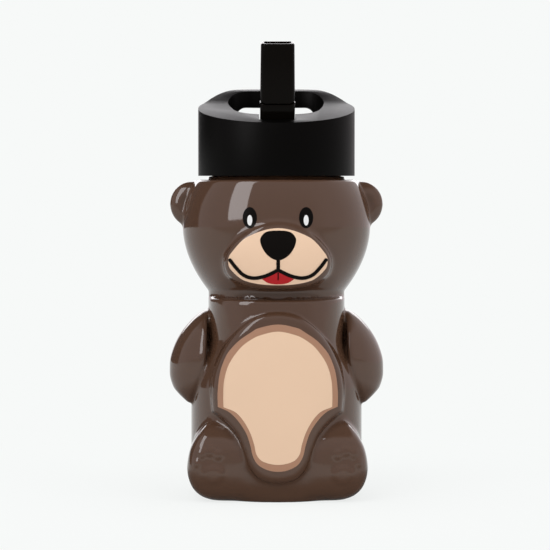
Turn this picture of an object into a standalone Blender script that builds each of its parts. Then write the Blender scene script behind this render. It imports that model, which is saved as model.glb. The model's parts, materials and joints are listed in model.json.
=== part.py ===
"""Bear-shaped water bottle: a blow-moulded bear with a screw lid, a flip spout and a straw.

Metres, +Z up. The origin is the middle of the base, on the axis of the neck, and the
bear faces -Y. The lid is screwed home and the spout is up, leaning forward.
"""
import math

import bmesh
import bpy
from mathutils import Matrix, Vector

# Clearances
FIT_GAP = 0.0003
RUN_GAP = 0.0004

# Trunk of the bear: torso below the neck crease, head above it
TORSO_HALF_WIDTH = 0.0410
TORSO_HALF_DEPTH = 0.0395
TAPER_START_Z = 0.0300
CREASE_Z = 0.0953
CREASE_HALF_WIDTH = 0.0314
CREASE_HALF_DEPTH = 0.0305
HEEL_HEIGHT = 0.0090
HEEL_SIDE_INSET = 0.0070
HEEL_FRONT_INSET = 0.0030
CHEEK_Z = 0.1290
CHEEK_HALF_WIDTH = 0.0450
CHEEK_HALF_DEPTH = 0.0405
SHOULDER_Z = 0.1507
SHOULDER_LEDGE = 0.0011
SHOULDER_EDGE_RADIUS = 0.0009
BOTTLE_WALL = 0.0016
TORSO_POWER = 2.2
TRUNK_SEGMENTS = 48
CAVITY_SEGMENTS = 28

# Arms: height above the paw's underside, offset from the trunk's side, half sizes, centre y
ARM_BOTTOM_Z = 0.0436
ARM_SECTIONS = (
    (0.0000, 0.0004, 0.0020, 0.0030, -0.0110),
    (0.0018, 0.0004, 0.0052, 0.0066, -0.0110),
    (0.0049, 0.0011, 0.0073, 0.0096, -0.0110),
    (0.0089, 0.0020, 0.0089, 0.0115, -0.0110),
    (0.0139, 0.0030, 0.0097, 0.0124, -0.0109),
    (0.0199, 0.0037, 0.0096, 0.0121, -0.0106),
    (0.0264, 0.0031, 0.0093, 0.0111, -0.0100),
    (0.0324, 0.0018, 0.0088, 0.0100, -0.0090),
    (0.0384, -0.0002, 0.0077, 0.0083, -0.0075),
    (0.0424, -0.0019, 0.0056, 0.0062, -0.0062),
    (0.0454, -0.0028, 0.0026, 0.0030, -0.0058),
)

# Legs: height, reach past the torso's side, width, reach past the torso's front, half depth
LEG_SECTIONS = (
    (0.0000, -0.0070, 0.0260, -0.0040, 0.0120),
    (0.0012, -0.0037, 0.0298, -0.0015, 0.0140),
    (0.0040, -0.0010, 0.0320, 0.0005, 0.0150),
    (0.0080, 0.0010, 0.0325, 0.0019, 0.0150),
    (0.0140, 0.0020, 0.0305, 0.0027, 0.0150),
    (0.0200, 0.0013, 0.0263, 0.0023, 0.0150),
    (0.0260, -0.0004, 0.0211, 0.0005, 0.0140),
    (0.0310, -0.0032, 0.0148, -0.0025, 0.0120),
    (0.0350, -0.0065, 0.0085, -0.0060, 0.0080),
    (0.0375, -0.0090, 0.0035, -0.0090, 0.0040),
)
LIMB_SEGMENTS = 14
LIMB_CAVITY_SEGMENTS = 10
LIMB_POWER = 2.3

# Ears
EAR_Z = 0.1393
EAR_RADIUS = 0.0103
EAR_HALF_THICKNESS = 0.0048
EAR_SUNK = 0.0032
EAR_Y = -0.0020
EAR_DISH_RADIUS = 0.0066
EAR_DISH_DEPTH = 0.0014

# Muzzle: a lens outline on a domed front
MUZZLE_Z = 0.1155
MUZZLE_SETBACK = 0.0105
MUZZLE_BACK_Y = MUZZLE_SETBACK - CHEEK_HALF_DEPTH
MUZZLE_DOME = (0.0285, 0.0145, 0.0240)
MUZZLE_OUTLINE = (
    (0.0000, 0.1310),
    (0.0070, 0.1300),
    (0.0135, 0.1270),
    (0.0195, 0.1224),
    (0.0240, 0.1165),
    (0.0253, 0.1115),
    (0.0235, 0.1060),
    (0.0170, 0.1020),
    (0.0090, 0.1002),
    (0.0000, 0.0998),
)

# Tummy: a raised plateau, cut away round the tops of the legs
TUMMY_RISE = 0.0020
TUMMY_HIP_CORNER = (0.0308, 0.0420)
TUMMY_OUTLINE = (
    (0.0000, 0.0888),
    (0.0120, 0.0858),
    (0.0232, 0.0755),
    (0.0293, 0.0640),
    (0.0314, 0.0530),
    TUMMY_HIP_CORNER,
    (0.0240, 0.0370),
    (0.0190, 0.0310),
    (0.0160, 0.0235),
    (0.0132, 0.0160),
    (0.0080, 0.0108),
    (0.0000, 0.0093),
)

# Neck finish and threaded inner lid
NECK_BORE_RADIUS = 0.0284
NECK_WALL = 0.0022
NECK_HEIGHT = 0.0163
NECK_BEAD_HEIGHT = 0.0016
NECK_BEAD_REACH = 0.0020
THREAD_DEPTH = 0.0015
INSERT_WALL = 0.0026
INSERT_PLATE_THICKNESS = 0.0027
INSERT_SKIRT_SHORT = 0.0008
GASKET_THICKNESS = 0.0020
NIPPLE_LENGTH = 0.0120
NIPPLE_WALL = 0.0009

# Lid shell with its carry loop
LID_GAP = 0.0019
LID_WALL = 0.0022
WELL_FLOOR_THICKNESS = 0.0020
DECK_FRONT_HEIGHT = 0.0246
DECK_SLOPE = 0.205
DECK_REAR_RISE = 0.0029
DECK_REAR_RISE_START_Y = 0.0220
DECK_REAR_RISE_END_Y = 0.0335
LID_EDGE_RADIUS = 0.0006
WELL_RADIUS = 0.0230
WELL_Y = 0.0080
WELL_WALL = 0.0020
WINDOW_WIDTH = 0.0380
WINDOW_TOP = 0.0335
WINDOW_CORNER_RADIUS = 0.0045
DECK_CAVITY_REAR_Y = 0.0150
LID_SEGMENTS = 72
WELL_SEGMENTS = 44

# Flip spout
SPOUT_Y = -0.0235
SPOUT_LEAN = math.radians(12.0)
DRUM_RADIUS = 0.0043
DRUM_HALF_WIDTH = 0.00815
SPOUT_BORE_RADIUS = 0.0022
TRUNNION_RADIUS = 0.0017
TRUNNION_LENGTH = 0.0022
SPOUT_FLANGE = 0.0100
SPOUT_BASE_HALF_DEPTH = 0.0051
STUB_LENGTH = 0.0090
MOUTHPIECE_END = 0.0385
MOUTHPIECE_WALL = 0.0017
MOUTHPIECE_TIP_HALF_WIDTH = 0.00785
MOUTHPIECE_TIP_HALF_DEPTH = 0.0046
MOUTHPIECE_CORNER_RADIUS = 0.0024
POCKET_REAR_Y = -0.0080
POCKET_WALL = 0.0018

# Seals, valve and straw
SEAL_RADIUS = 0.0039
SEAL_SEAT_DEPTH = 0.0015
SEAL_PROUD = 0.0006
VENT_Y = 0.0180
VENT_STEM_RADIUS = 0.0011
VENT_FLAP_RADIUS = 0.0042
VENT_FLAP_THICKNESS = 0.0008
VENT_KNOB_RADIUS = 0.0019
VENT_KNOB_HEIGHT = 0.0012
VENT_HOLE_RADIUS = 0.0006
VENT_HOLE_SPACING = 0.0028
STRAW_WALL = 0.0008
STRAW_FOOT_GAP = 0.0045
STRAW_TIP_SLANT = math.radians(30.0)
TUBE_SEGMENTS = 20

# Printed films
PRINT_THICKNESS = 0.00025
EYE_X = 0.0131
EYE_Z = 0.1327
EYE_HALF_WIDTH = 0.0033
EYE_HALF_HEIGHT = 0.0049
GLINT_HALF_WIDTH = 0.00116
GLINT_HALF_HEIGHT = 0.00246
GLINT_DROP = 0.0012
MOUTH_LINE_WIDTH = 0.0017
MOUTH_APEX_Z = 0.1089
NOSE_TIP_Z = 0.1133
MUZZLE_PATCH_OUTLINE = (
    (0.0000, 0.1281),
    (0.0144, 0.1239),
    (0.0220, 0.1164),
    (0.0231, 0.1133),
    (0.0222, 0.1093),
    (0.0153, 0.1038),
    (0.0000, 0.1018),
)
NOSE_OUTLINE = (
    (0.0000, 0.1264),
    (0.0060, 0.1258),
    (0.0083, 0.1220),
    (0.0053, 0.1160),
    (0.0000, NOSE_TIP_Z),
)
SMILE_PATH = (
    (0.0000, MOUTH_APEX_Z),
    (0.0060, 0.1061),
    (0.0116, 0.1051),
    (0.0162, 0.1066),
    (0.0199, 0.1103),
    (0.0223, 0.1134),
)
TONGUE_TIP = (0.0066, 0.1044)
TONGUE_OUTLINE = (
    (0.0000, MOUTH_APEX_Z - 0.0013),
    (0.0035, 0.1060),
    TONGUE_TIP,
    (0.0040, 0.1027),
    (0.0000, 0.1022),
)
BORDER_HIP_CORNER = (0.0281, 0.0444)
BORDER_OUTLINE = (
    (0.0000, 0.0835),
    (0.0095, 0.0810),
    (0.0193, 0.0747),
    (0.0251, 0.0654),
    (0.0281, 0.0538),
    BORDER_HIP_CORNER,
    (0.0192, 0.0408),
    (0.0135, 0.0327),
    (0.0118, 0.0263),
    (0.0101, 0.0205),
    (0.0064, 0.0170),
    (0.0000, 0.0151),
)
PANEL_HIP_CORNER = (0.0255, 0.0446)
PANEL_OUTLINE = (
    (0.0000, 0.0802),
    (0.0085, 0.0780),
    (0.0172, 0.0722),
    (0.0224, 0.0637),
    (0.0255, 0.0535),
    PANEL_HIP_CORNER,
    (0.0178, 0.0428),
    (0.0125, 0.0345),
    (0.0098, 0.0262),
    (0.0084, 0.0215),
    (0.0050, 0.0193),
    (0.0000, 0.0184),
)

# Sizes that follow from those above
NECK_OUTER_RADIUS = NECK_BORE_RADIUS + NECK_WALL
NECK_TOP_Z = SHOULDER_Z + NECK_HEIGHT
INSERT_INNER_RADIUS = NECK_OUTER_RADIUS + THREAD_DEPTH + FIT_GAP
INSERT_RADIUS = INSERT_INNER_RADIUS + INSERT_WALL
LID_INNER_RADIUS = INSERT_RADIUS + FIT_GAP
LID_RADIUS = LID_INNER_RADIUS + LID_WALL
SHOULDER_RADIUS = LID_RADIUS + SHOULDER_LEDGE
LID_BOTTOM_Z = SHOULDER_Z + LID_GAP
GASKET_BOTTOM_Z = NECK_TOP_Z + FIT_GAP
PLATE_BOTTOM_Z = GASKET_BOTTOM_Z + GASKET_THICKNESS + FIT_GAP
PLATE_TOP_Z = PLATE_BOTTOM_Z + INSERT_PLATE_THICKNESS
FLOOR_BOTTOM_Z = PLATE_TOP_Z + FIT_GAP
FLOOR_TOP_Z = FLOOR_BOTTOM_Z + WELL_FLOOR_THICKNESS
PIVOT_Z = PLATE_TOP_Z + RUN_GAP + DRUM_RADIUS
POCKET_HALF_WIDTH = DRUM_HALF_WIDTH + RUN_GAP
POCKET_FRONT_Y = SPOUT_Y - SPOUT_BASE_HALF_DEPTH - RUN_GAP
NIPPLE_RADIUS = SPOUT_BORE_RADIUS + NIPPLE_WALL
STRAW_BORE_RADIUS = NIPPLE_RADIUS + FIT_GAP
STRAW_RADIUS = STRAW_BORE_RADIUS + STRAW_WALL
STRAW_TOP_Z = PLATE_BOTTOM_Z - FIT_GAP
STRAW_FOOT_Z = BOTTLE_WALL + STRAW_FOOT_GAP
FAR = 0.06

parts = None
cutters = None


def new_collection(name):
    collection = bpy.data.collections.new(name)
    bpy.context.scene.collection.children.link(collection)
    return collection


def finish(name, colour, roughness, transmission=0.0):
    """Principled material for one sub-part."""
    material = bpy.data.materials.new(name)
    material.use_nodes = True
    shader = material.node_tree.nodes["Principled BSDF"]
    shader.inputs["Base Color"].default_value = (*colour, 1.0)
    shader.inputs["Roughness"].default_value = roughness
    shader.inputs["Metallic"].default_value = 0.0
    shader.inputs["Transmission Weight"].default_value = transmission
    material.diffuse_color = (*colour, 1.0)
    return material


def place(name, mesh, material=None):
    """Link a mesh as a part if it has a material, and as a hidden cutter if not."""
    item = bpy.data.objects.new(name, mesh)
    if material is None:
        cutters.objects.link(item)
        item.hide_render = True
        item.display_type = "WIRE"
        return item
    mesh.materials.append(material)
    parts.objects.link(item)
    return item


def smooth(item, angle=math.radians(35.0)):
    item.data.shade_smooth()
    item.data.set_sharp_from_angle(angle=angle)


def combine(item, other, operation):
    modifier = item.modifiers.new(operation.lower(), "BOOLEAN")
    modifier.operation = operation
    modifier.solver = "EXACT"
    modifier.object = other
    return item


def bevel(item, width, angle=math.radians(40.0), segments=1):
    modifier = item.modifiers.new("edge_radius", "BEVEL")
    modifier.width = width
    modifier.segments = segments
    modifier.limit_method = "ANGLE"
    modifier.angle_limit = angle
    return item


def mesh_from(bm, name):
    """Mesh of a closed bmesh, with its faces pointing out."""
    if bm.calc_volume(signed=True) < 0.0:
        bmesh.ops.reverse_faces(bm, faces=bm.faces)
    mesh = bpy.data.meshes.new(name)
    bm.to_mesh(mesh)
    bm.free()
    return mesh


def loft(name, rings, material=None):
    """Closed body through rings of equal point counts, with flat ends."""
    bm = bmesh.new()
    loops = [[bm.verts.new(point) for point in ring] for ring in rings]
    for lower, upper in zip(loops, loops[1:]):
        for i, vert in enumerate(lower):
            j = (i + 1) % len(lower)
            bm.faces.new((vert, lower[j], upper[j], upper[i]))
    bm.faces.new(loops[0][::-1])
    bm.faces.new(loops[-1])
    return place(name, mesh_from(bm, name), material)


def cylinder(name, radius, start, end, segments=TUBE_SEGMENTS, material=None):
    """Closed cylinder between two points."""
    start = Vector(start)
    end = Vector(end)
    bm = bmesh.new()
    bmesh.ops.create_cone(
        bm,
        cap_ends=True,
        segments=segments,
        radius1=radius,
        radius2=radius,
        depth=(end - start).length,
    )
    turn = (end - start).to_track_quat("Z", "Y").to_matrix().to_4x4()
    bm.transform(Matrix.Translation((start + end) / 2.0) @ turn)
    return place(name, mesh_from(bm, name), material)


def box(name, low, high, material=None):
    bm = bmesh.new()
    bmesh.ops.create_cube(bm, size=1.0)
    low = Vector(low)
    high = Vector(high)
    size = high - low
    bm.transform(Matrix.Translation((low + high) / 2.0) @ Matrix.Diagonal((*size, 1.0)))
    return place(name, mesh_from(bm, name), material)


def ellipsoid(name, centre, radii, rings=14, segments=28, material=None):
    bm = bmesh.new()
    bmesh.ops.create_uvsphere(bm, u_segments=segments, v_segments=rings, radius=1.0)
    bm.transform(Matrix.Translation(centre) @ Matrix.Diagonal((*radii, 1.0)))
    return place(name, mesh_from(bm, name), material)


def turned(name, profile, material=None, segments=48, centre=(0.0, 0.0)):
    """Ring or solid turned about Z from an outline of (radius, z) points.

    The outline runs down the outer side. A ring's comes back up its inner side, and a
    solid's starts and ends on the axis.
    """
    mesh = bpy.data.meshes.new(name)
    points = [(radius, 0.0, z) for radius, z in profile]
    edges = [(i, i + 1) for i in range(len(points) - 1)]
    if profile[0][0] > 0.0:
        edges.append((len(points) - 1, 0))
    mesh.from_pydata(points, edges, [])
    item = place(name, mesh, material)
    item.location = (centre[0], centre[1], 0.0)
    screw = item.modifiers.new("turn", "SCREW")
    screw.axis = "Z"
    screw.angle = math.tau
    screw.steps = segments
    screw.render_steps = segments
    screw.use_merge_vertices = True
    screw.merge_threshold = 0.00001
    return item


def prism(name, outline, axis, low, high, corners=(), steps=4):
    """Solid of a closed outline: smooth through its points, sharp at the corners.

    Axis Y stands the outline in the XZ plane, and axis X in the YZ plane.
    """
    curve = bpy.data.curves.new(name, "CURVE")
    curve.dimensions = "2D"
    curve.fill_mode = "BOTH"
    curve.extrude = (high - low) / 2.0
    curve.resolution_u = steps
    curve.render_resolution_u = steps
    spline = curve.splines.new("BEZIER")
    spline.bezier_points.add(len(outline) - 1)
    spline.use_cyclic_u = True
    for knot, point in zip(spline.bezier_points, outline):
        knot.co = (point[0], point[1], 0.0)
        kind = "VECTOR" if point in corners else "AUTO"
        knot.handle_left_type = kind
        knot.handle_right_type = kind
    drawn = bpy.data.objects.new(name, curve)
    cutters.objects.link(drawn)
    middle = (low + high) / 2.0
    if axis == "Y":
        columns = (Vector((1, 0, 0)), Vector((0, 0, 1)), Vector((0, -1, 0)))
        place_at = Vector((0.0, middle, 0.0))
    else:
        columns = (Vector((0, 1, 0)), Vector((0, 0, 1)), Vector((1, 0, 0)))
        place_at = Vector((middle, 0.0, 0.0))
    frame = Matrix(columns).transposed().to_4x4()
    bpy.context.view_layer.update()
    evaluated = drawn.evaluated_get(bpy.context.evaluated_depsgraph_get())
    solid = bpy.data.meshes.new_from_object(evaluated)
    bpy.data.objects.remove(drawn)
    bm = bmesh.new()
    bm.from_mesh(solid)
    bpy.data.meshes.remove(solid)
    bmesh.ops.remove_doubles(bm, verts=bm.verts, dist=0.00001)
    bmesh.ops.recalc_face_normals(bm, faces=bm.faces)
    bm.transform(Matrix.Translation(place_at) @ frame)
    return place(name, mesh_from(bm, name))


def both_sides(half):
    """Full outline from the half at +X that runs from the top to the bottom."""
    return tuple(half) + tuple((-x, z) for x, z in half[-2:0:-1])


def mirror_corner(corner):
    return (corner, (-corner[0], corner[1]))


def rounded_rectangle(half_width, half_depth, radius, steps=4):
    """Points of a rounded rectangle about the origin, as (across, along) pairs."""
    points = []
    centres = ((1, 1), (-1, 1), (-1, -1), (1, -1))
    for quarter, (sign_x, sign_y) in enumerate(centres):
        for step in range(steps + 1):
            angle = math.radians(90.0) * (quarter + step / steps)
            across = sign_x * (half_width - radius) + radius * math.cos(angle)
            along = sign_y * (half_depth - radius) + radius * math.sin(angle)
            points.append((across, along))
    return points


def superellipse(angle, half_width, half_depth, power):
    c = math.cos(angle)
    s = math.sin(angle)
    share = 2.0 / power
    x = half_width * math.copysign(abs(c) ** share, c)
    y = half_depth * math.copysign(abs(s) ** share, s)
    return x, y


# Bear body

def trunk_size(z):
    """Half width, half depth and squareness of the bear's trunk at a height."""
    if z <= CREASE_Z:
        rise = max(0.0, (z - TAPER_START_Z) / (CREASE_Z - TAPER_START_Z))
        full = 1.0 - rise ** 2
        half_width = CREASE_HALF_WIDTH + (TORSO_HALF_WIDTH - CREASE_HALF_WIDTH) * full
        half_depth = CREASE_HALF_DEPTH + (TORSO_HALF_DEPTH - CREASE_HALF_DEPTH) * full
        heel = max(0.0, 1.0 - z / HEEL_HEIGHT)
        tuck = 1.0 - math.sqrt(1.0 - heel ** 2)
        power = 2.0 + (TORSO_POWER - 2.0) * full
        return half_width - HEEL_SIDE_INSET * tuck, half_depth - HEEL_FRONT_INSET * tuck, power
    if z <= CHEEK_Z:
        full = 1.0 - (1.0 - (z - CREASE_Z) / (CHEEK_Z - CREASE_Z)) ** 2
        half_width = CREASE_HALF_WIDTH + (CHEEK_HALF_WIDTH - CREASE_HALF_WIDTH) * full
        half_depth = CREASE_HALF_DEPTH + (CHEEK_HALF_DEPTH - CREASE_HALF_DEPTH) * full
        return half_width, half_depth, 2.0
    shrink = ((z - CHEEK_Z) / (SHOULDER_Z - CHEEK_Z)) ** 2.2
    half_width = CHEEK_HALF_WIDTH + (SHOULDER_RADIUS - CHEEK_HALF_WIDTH) * shrink
    half_depth = CHEEK_HALF_DEPTH + (SHOULDER_RADIUS - CHEEK_HALF_DEPTH) * shrink
    edge = max(0.0, 1.0 - (SHOULDER_Z - z) / SHOULDER_EDGE_RADIUS)
    tuck = SHOULDER_EDGE_RADIUS * (1.0 - math.sqrt(1.0 - edge ** 2))
    return half_width - tuck, half_depth - tuck, 2.0


def trunk_heights(torso_steps, head_steps):
    """Heights of the trunk's sections, closer together at the heel, crease and shoulder."""
    heights = [HEEL_HEIGHT * share for share in (0.0, 0.06, 0.2, 0.45, 1.0)]
    for step in range(1, torso_steps + 1):
        share = math.sin(math.radians(90.0) * step / torso_steps)
        heights.append(HEEL_HEIGHT + (CREASE_Z - HEEL_HEIGHT) * share)
    top = SHOULDER_Z - SHOULDER_EDGE_RADIUS
    for step in range(1, head_steps + 1):
        share = (1.0 - math.cos(math.radians(180.0) * step / head_steps)) / 2.0
        heights.append(CREASE_Z + (top - CREASE_Z) * share)
    heights += [top + SHOULDER_EDGE_RADIUS * share for share in (0.6, 1.0)]
    return heights


def trunk(name, offset, segments=TRUNK_SEGMENTS, torso_steps=8, head_steps=11):
    """Trunk form moved out by an offset, or in by a wall when the offset is negative."""
    sink = min(offset, 0.0)
    scale = (SHOULDER_Z + 2.0 * sink) / SHOULDER_Z
    rings = []
    for z in trunk_heights(torso_steps, head_steps):
        half_width, half_depth, power = trunk_size(z)
        level = z * scale - sink
        ring = []
        for i in range(segments):
            angle = math.tau * (i + 0.5) / segments
            x, y = superellipse(angle, half_width + offset, half_depth + offset, power)
            ring.append((x, y, level))
        rings.append(ring)
    return loft(name, rings)


def limb(name, sections, offset):
    """Lofted limb from rows of (z, centre x, centre y, half width, half depth)."""
    low = sections[0][0]
    high = sections[-1][0]
    scale = (high - low + 2.0 * offset) / (high - low)
    segments = LIMB_SEGMENTS if offset == 0.0 else LIMB_CAVITY_SEGMENTS
    rings = []
    for z, centre_x, centre_y, half_width, half_depth in sections:
        level = low - offset + (z - low) * scale
        reach = max(half_width + offset, 0.25 * half_width)
        depth = max(half_depth + offset, 0.25 * half_depth)
        ring = []
        for i in range(segments):
            x, y = superellipse(math.tau * i / segments, reach, depth, LIMB_POWER)
            ring.append((centre_x + x, centre_y + y, level))
        rings.append(ring)
    return loft(name, rings)


def arm(name, side, offset):
    sections = []
    for above, stand_off, half_width, half_depth, centre_y in ARM_SECTIONS:
        z = ARM_BOTTOM_Z + above
        centre_x = side * (trunk_size(z)[0] + stand_off)
        sections.append((z, centre_x, centre_y, half_width, half_depth))
    return limb(name, sections, offset)


def leg(name, side, offset):
    sections = []
    for z, side_reach, width, front_reach, half_depth in LEG_SECTIONS:
        centre_x = side * (TORSO_HALF_WIDTH + side_reach - width / 2.0)
        centre_y = -(TORSO_HALF_DEPTH + front_reach) + half_depth
        sections.append((z, centre_x, centre_y, width / 2.0, half_depth))
    return limb(name, sections, offset)


def ear(name, side, offset):
    """Rounded ear disc with a shallow dish on its front."""
    centre_x = side * (trunk_size(EAR_Z)[0] - EAR_SUNK)
    centre = (centre_x, EAR_Y, EAR_Z)
    radii = (EAR_RADIUS + offset, EAR_HALF_THICKNESS + offset, EAR_RADIUS + offset)
    if offset < 0.0:
        return ellipsoid(name, centre, radii, rings=6, segments=10)
    item = ellipsoid(name, centre, radii, rings=9, segments=18)
    if offset == 0.0:
        front = EAR_Y - EAR_HALF_THICKNESS
        dish = (centre_x + side * 0.15 * EAR_RADIUS, front - EAR_DISH_DEPTH, EAR_Z)
        hollow = (EAR_DISH_RADIUS, 2.0 * EAR_DISH_DEPTH, EAR_DISH_RADIUS)
        combine(item, ellipsoid(name + "_dish", dish, hollow, 8, 16), "DIFFERENCE")
    return item


def muzzle_dome(name, offset):
    radii = [radius + offset for radius in MUZZLE_DOME]
    rings, segments = (10, 20) if offset < 0.0 else (16, 32)
    return ellipsoid(name, (0.0, MUZZLE_BACK_Y, MUZZLE_Z), radii, rings, segments)


def muzzle(name, offset):
    outline = [(x * (1.0 + offset / 0.025), MUZZLE_Z + (z - MUZZLE_Z) * (1.0 + offset / 0.015))
               for x, z in both_sides(MUZZLE_OUTLINE)]
    item = prism(name, outline, "Y", -FAR, MUZZLE_BACK_Y * 0.8, steps=2)
    return combine(item, muzzle_dome(name + "_front", offset), "INTERSECT")


def tummy(name, offset):
    corners = mirror_corner(TUMMY_HIP_CORNER)
    item = prism(name, both_sides(TUMMY_OUTLINE), "Y", -FAR, -0.010, corners, steps=3)
    return combine(item, trunk(name + "_front", TUMMY_RISE + offset), "INTERSECT")


def bear_form(prefix, offset):
    """Trunk, limbs, ears, muzzle and tummy as one form, moved out or in by an offset."""
    if offset < 0.0:
        form = trunk(prefix + "_trunk", offset, CAVITY_SEGMENTS, 7, 8)
    else:
        form = trunk(prefix + "_trunk", offset)
    for side, word in ((-1, "left"), (1, "right")):
        combine(form, arm(f"{prefix}_arm_{word}", side, offset), "UNION")
        combine(form, leg(f"{prefix}_leg_{word}", side, offset), "UNION")
        combine(form, ear(f"{prefix}_ear_{word}", side, offset), "UNION")
    combine(form, muzzle(prefix + "_muzzle", offset), "UNION")
    if offset == 0.0:
        combine(form, tummy(prefix + "_tummy", offset), "UNION")
    return form


def bottle_body():
    """Blow-moulded bear with an even wall and an open neck finish."""
    plastic = finish("tinted_plastic", (0.105, 0.068, 0.050), 0.08, 0.35)
    body = bear_form("bear", 0.0)
    body.name = "bottle_body"
    body.data.materials.append(plastic)
    cutters.objects.unlink(body)
    parts.objects.link(body)
    body.hide_render = False
    body.display_type = "TEXTURED"
    bead_top = SHOULDER_Z + NECK_BEAD_HEIGHT
    bead_radius = NECK_OUTER_RADIUS + NECK_BEAD_REACH
    root_z = SHOULDER_Z - 2.0 * BOTTLE_WALL
    neck = turned("neck_finish", (
        (0.0, NECK_TOP_Z),
        (NECK_OUTER_RADIUS, NECK_TOP_Z),
        (NECK_OUTER_RADIUS, bead_top),
        (bead_radius, bead_top - 0.3 * NECK_BEAD_HEIGHT),
        (bead_radius, root_z),
        (0.0, root_z),
    ))
    combine(body, neck, "UNION")
    combine(body, bear_form("cavity", -BOTTLE_WALL), "DIFFERENCE")
    bore = cylinder(
        "neck_bore", NECK_BORE_RADIUS, (0, 0, root_z - BOTTLE_WALL), (0, 0, NECK_TOP_Z + 0.01), 64
    )
    combine(body, bore, "DIFFERENCE")
    smooth(body)
    return body


# Lid

def deck_height(y):
    """Height of the lid's sloping top above the lid's bottom edge."""
    share = (y - DECK_REAR_RISE_START_Y) / (DECK_REAR_RISE_END_Y - DECK_REAR_RISE_START_Y)
    share = min(1.0, max(0.0, share))
    rise = DECK_REAR_RISE * share * share * (3.0 - 2.0 * share)
    return DECK_FRONT_HEIGHT + DECK_SLOPE * (y + LID_RADIUS) + rise


def below_deck(name, drop):
    """Everything under the sloping deck, lowered by a drop."""
    span = DECK_REAR_RISE_END_Y - DECK_REAR_RISE_START_Y
    stations = [-LID_RADIUS - 0.002]
    stations += [DECK_REAR_RISE_START_Y + span * step / 5.0 for step in range(6)]
    stations.append(LID_RADIUS + 0.002)
    top = [(y, LID_BOTTOM_Z + deck_height(y) - drop) for y in stations]
    bottom_z = LID_BOTTOM_Z - 0.005
    outline = top + [(stations[-1], bottom_z), (stations[0], bottom_z)]
    return prism(name, outline, "X", -FAR, FAR, corners=outline, steps=1)


def spout_pocket():
    """Slot for the spout, open to the finger well and down to the inner lid."""
    low = (-POCKET_HALF_WIDTH, POCKET_FRONT_Y, FLOOR_BOTTOM_Z - FIT_GAP)
    high = (POCKET_HALF_WIDTH, POCKET_REAR_Y, LID_BOTTOM_Z + FAR)
    return box("spout_pocket", low, high)


def trunnion_slot(side):
    """Slot that the trunnion enters from below, rounded at its top."""
    radius = TRUNNION_RADIUS + FIT_GAP
    outline = [(SPOUT_Y - radius, FLOOR_BOTTOM_Z - 0.001)]
    for step in range(9):
        angle = math.radians(180.0) * (1.0 - step / 8.0)
        outline.append((SPOUT_Y + radius * math.cos(angle), PIVOT_Z + radius * math.sin(angle)))
    outline.append((SPOUT_Y + radius, FLOOR_BOTTOM_Z - 0.001))
    inner = side * (POCKET_HALF_WIDTH - 0.001)
    outer = side * (POCKET_HALF_WIDTH + TRUNNION_LENGTH)
    word = "right" if side > 0 else "left"
    name = f"trunnion_slot_{word}"
    return prism(name, outline, "X", min(inner, outer), max(inner, outer), outline, 1)


def deck_cavity():
    """Hollow under the deck on both sides of the spout pocket, open at the bottom."""
    hollow = cylinder("deck_cavity", LID_INNER_RADIUS, (0, 0, FLOOR_BOTTOM_Z - 0.001),
                      (0, 0, LID_BOTTOM_Z + FAR), LID_SEGMENTS)
    combine(hollow, below_deck("deck_underside", LID_WALL), "INTERSECT")
    well = cylinder("well_wall", WELL_RADIUS + WELL_WALL, (0, WELL_Y, 0), (0, WELL_Y, 0.3),
                    WELL_SEGMENTS)
    combine(hollow, well, "DIFFERENCE")
    block = POCKET_HALF_WIDTH + TRUNNION_LENGTH + POCKET_WALL
    combine(hollow, box("pocket_block", (-block, -FAR, 0), (block, FAR, 0.3)), "DIFFERENCE")
    rear = box("loop_root", (-FAR, DECK_CAVITY_REAR_Y, 0), (FAR, FAR, 0.3))
    return combine(hollow, rear, "DIFFERENCE")


def rear_window():
    """Opening under the rear of the loop, with rounded upper corners."""
    low = (-WINDOW_WIDTH / 2.0, WELL_Y + 0.3 * WELL_RADIUS, FLOOR_TOP_Z)
    high = (WINDOW_WIDTH / 2.0, LID_RADIUS + 0.01, LID_BOTTOM_Z + WINDOW_TOP)
    window = box("rear_window", low, high)
    bm = bmesh.new()
    bm.from_mesh(window.data)
    top_sides = [
        edge for edge in bm.edges
        if all(vert.co.z > high[2] - 0.001 for vert in edge.verts)
        and abs(edge.verts[0].co.x - edge.verts[1].co.x) < 0.001
    ]
    bmesh.ops.bevel(bm, geom=top_sides, offset=WINDOW_CORNER_RADIUS, segments=5,
                    profile=0.5, affect="EDGES")
    bm.to_mesh(window.data)
    bm.free()
    return window


def lid_shell():
    """Outer lid with the sloping deck, the finger well and the carry loop behind it."""
    black = finish("black_lid_plastic", (0.012, 0.011, 0.010), 0.42)
    lid = cylinder("lid_shell", LID_RADIUS, (0, 0, LID_BOTTOM_Z), (0, 0, LID_BOTTOM_Z + FAR),
                   LID_SEGMENTS, black)
    combine(lid, below_deck("deck_top", 0.0), "INTERSECT")
    well = cylinder("finger_well", WELL_RADIUS, (0, WELL_Y, FLOOR_TOP_Z),
                    (0, WELL_Y, LID_BOTTOM_Z + FAR), WELL_SEGMENTS)
    combine(lid, well, "DIFFERENCE")
    combine(lid, spout_pocket(), "DIFFERENCE")
    combine(lid, rear_window(), "DIFFERENCE")
    bevel(lid, LID_EDGE_RADIUS)
    for side in (-1, 1):
        combine(lid, trunnion_slot(side), "DIFFERENCE")
    recess = cylinder("insert_recess", LID_INNER_RADIUS, (0, 0, LID_BOTTOM_Z - 0.01),
                      (0, 0, FLOOR_BOTTOM_Z), LID_SEGMENTS)
    combine(lid, recess, "DIFFERENCE")
    combine(lid, deck_cavity(), "DIFFERENCE")
    smooth(lid)
    return lid


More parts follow.
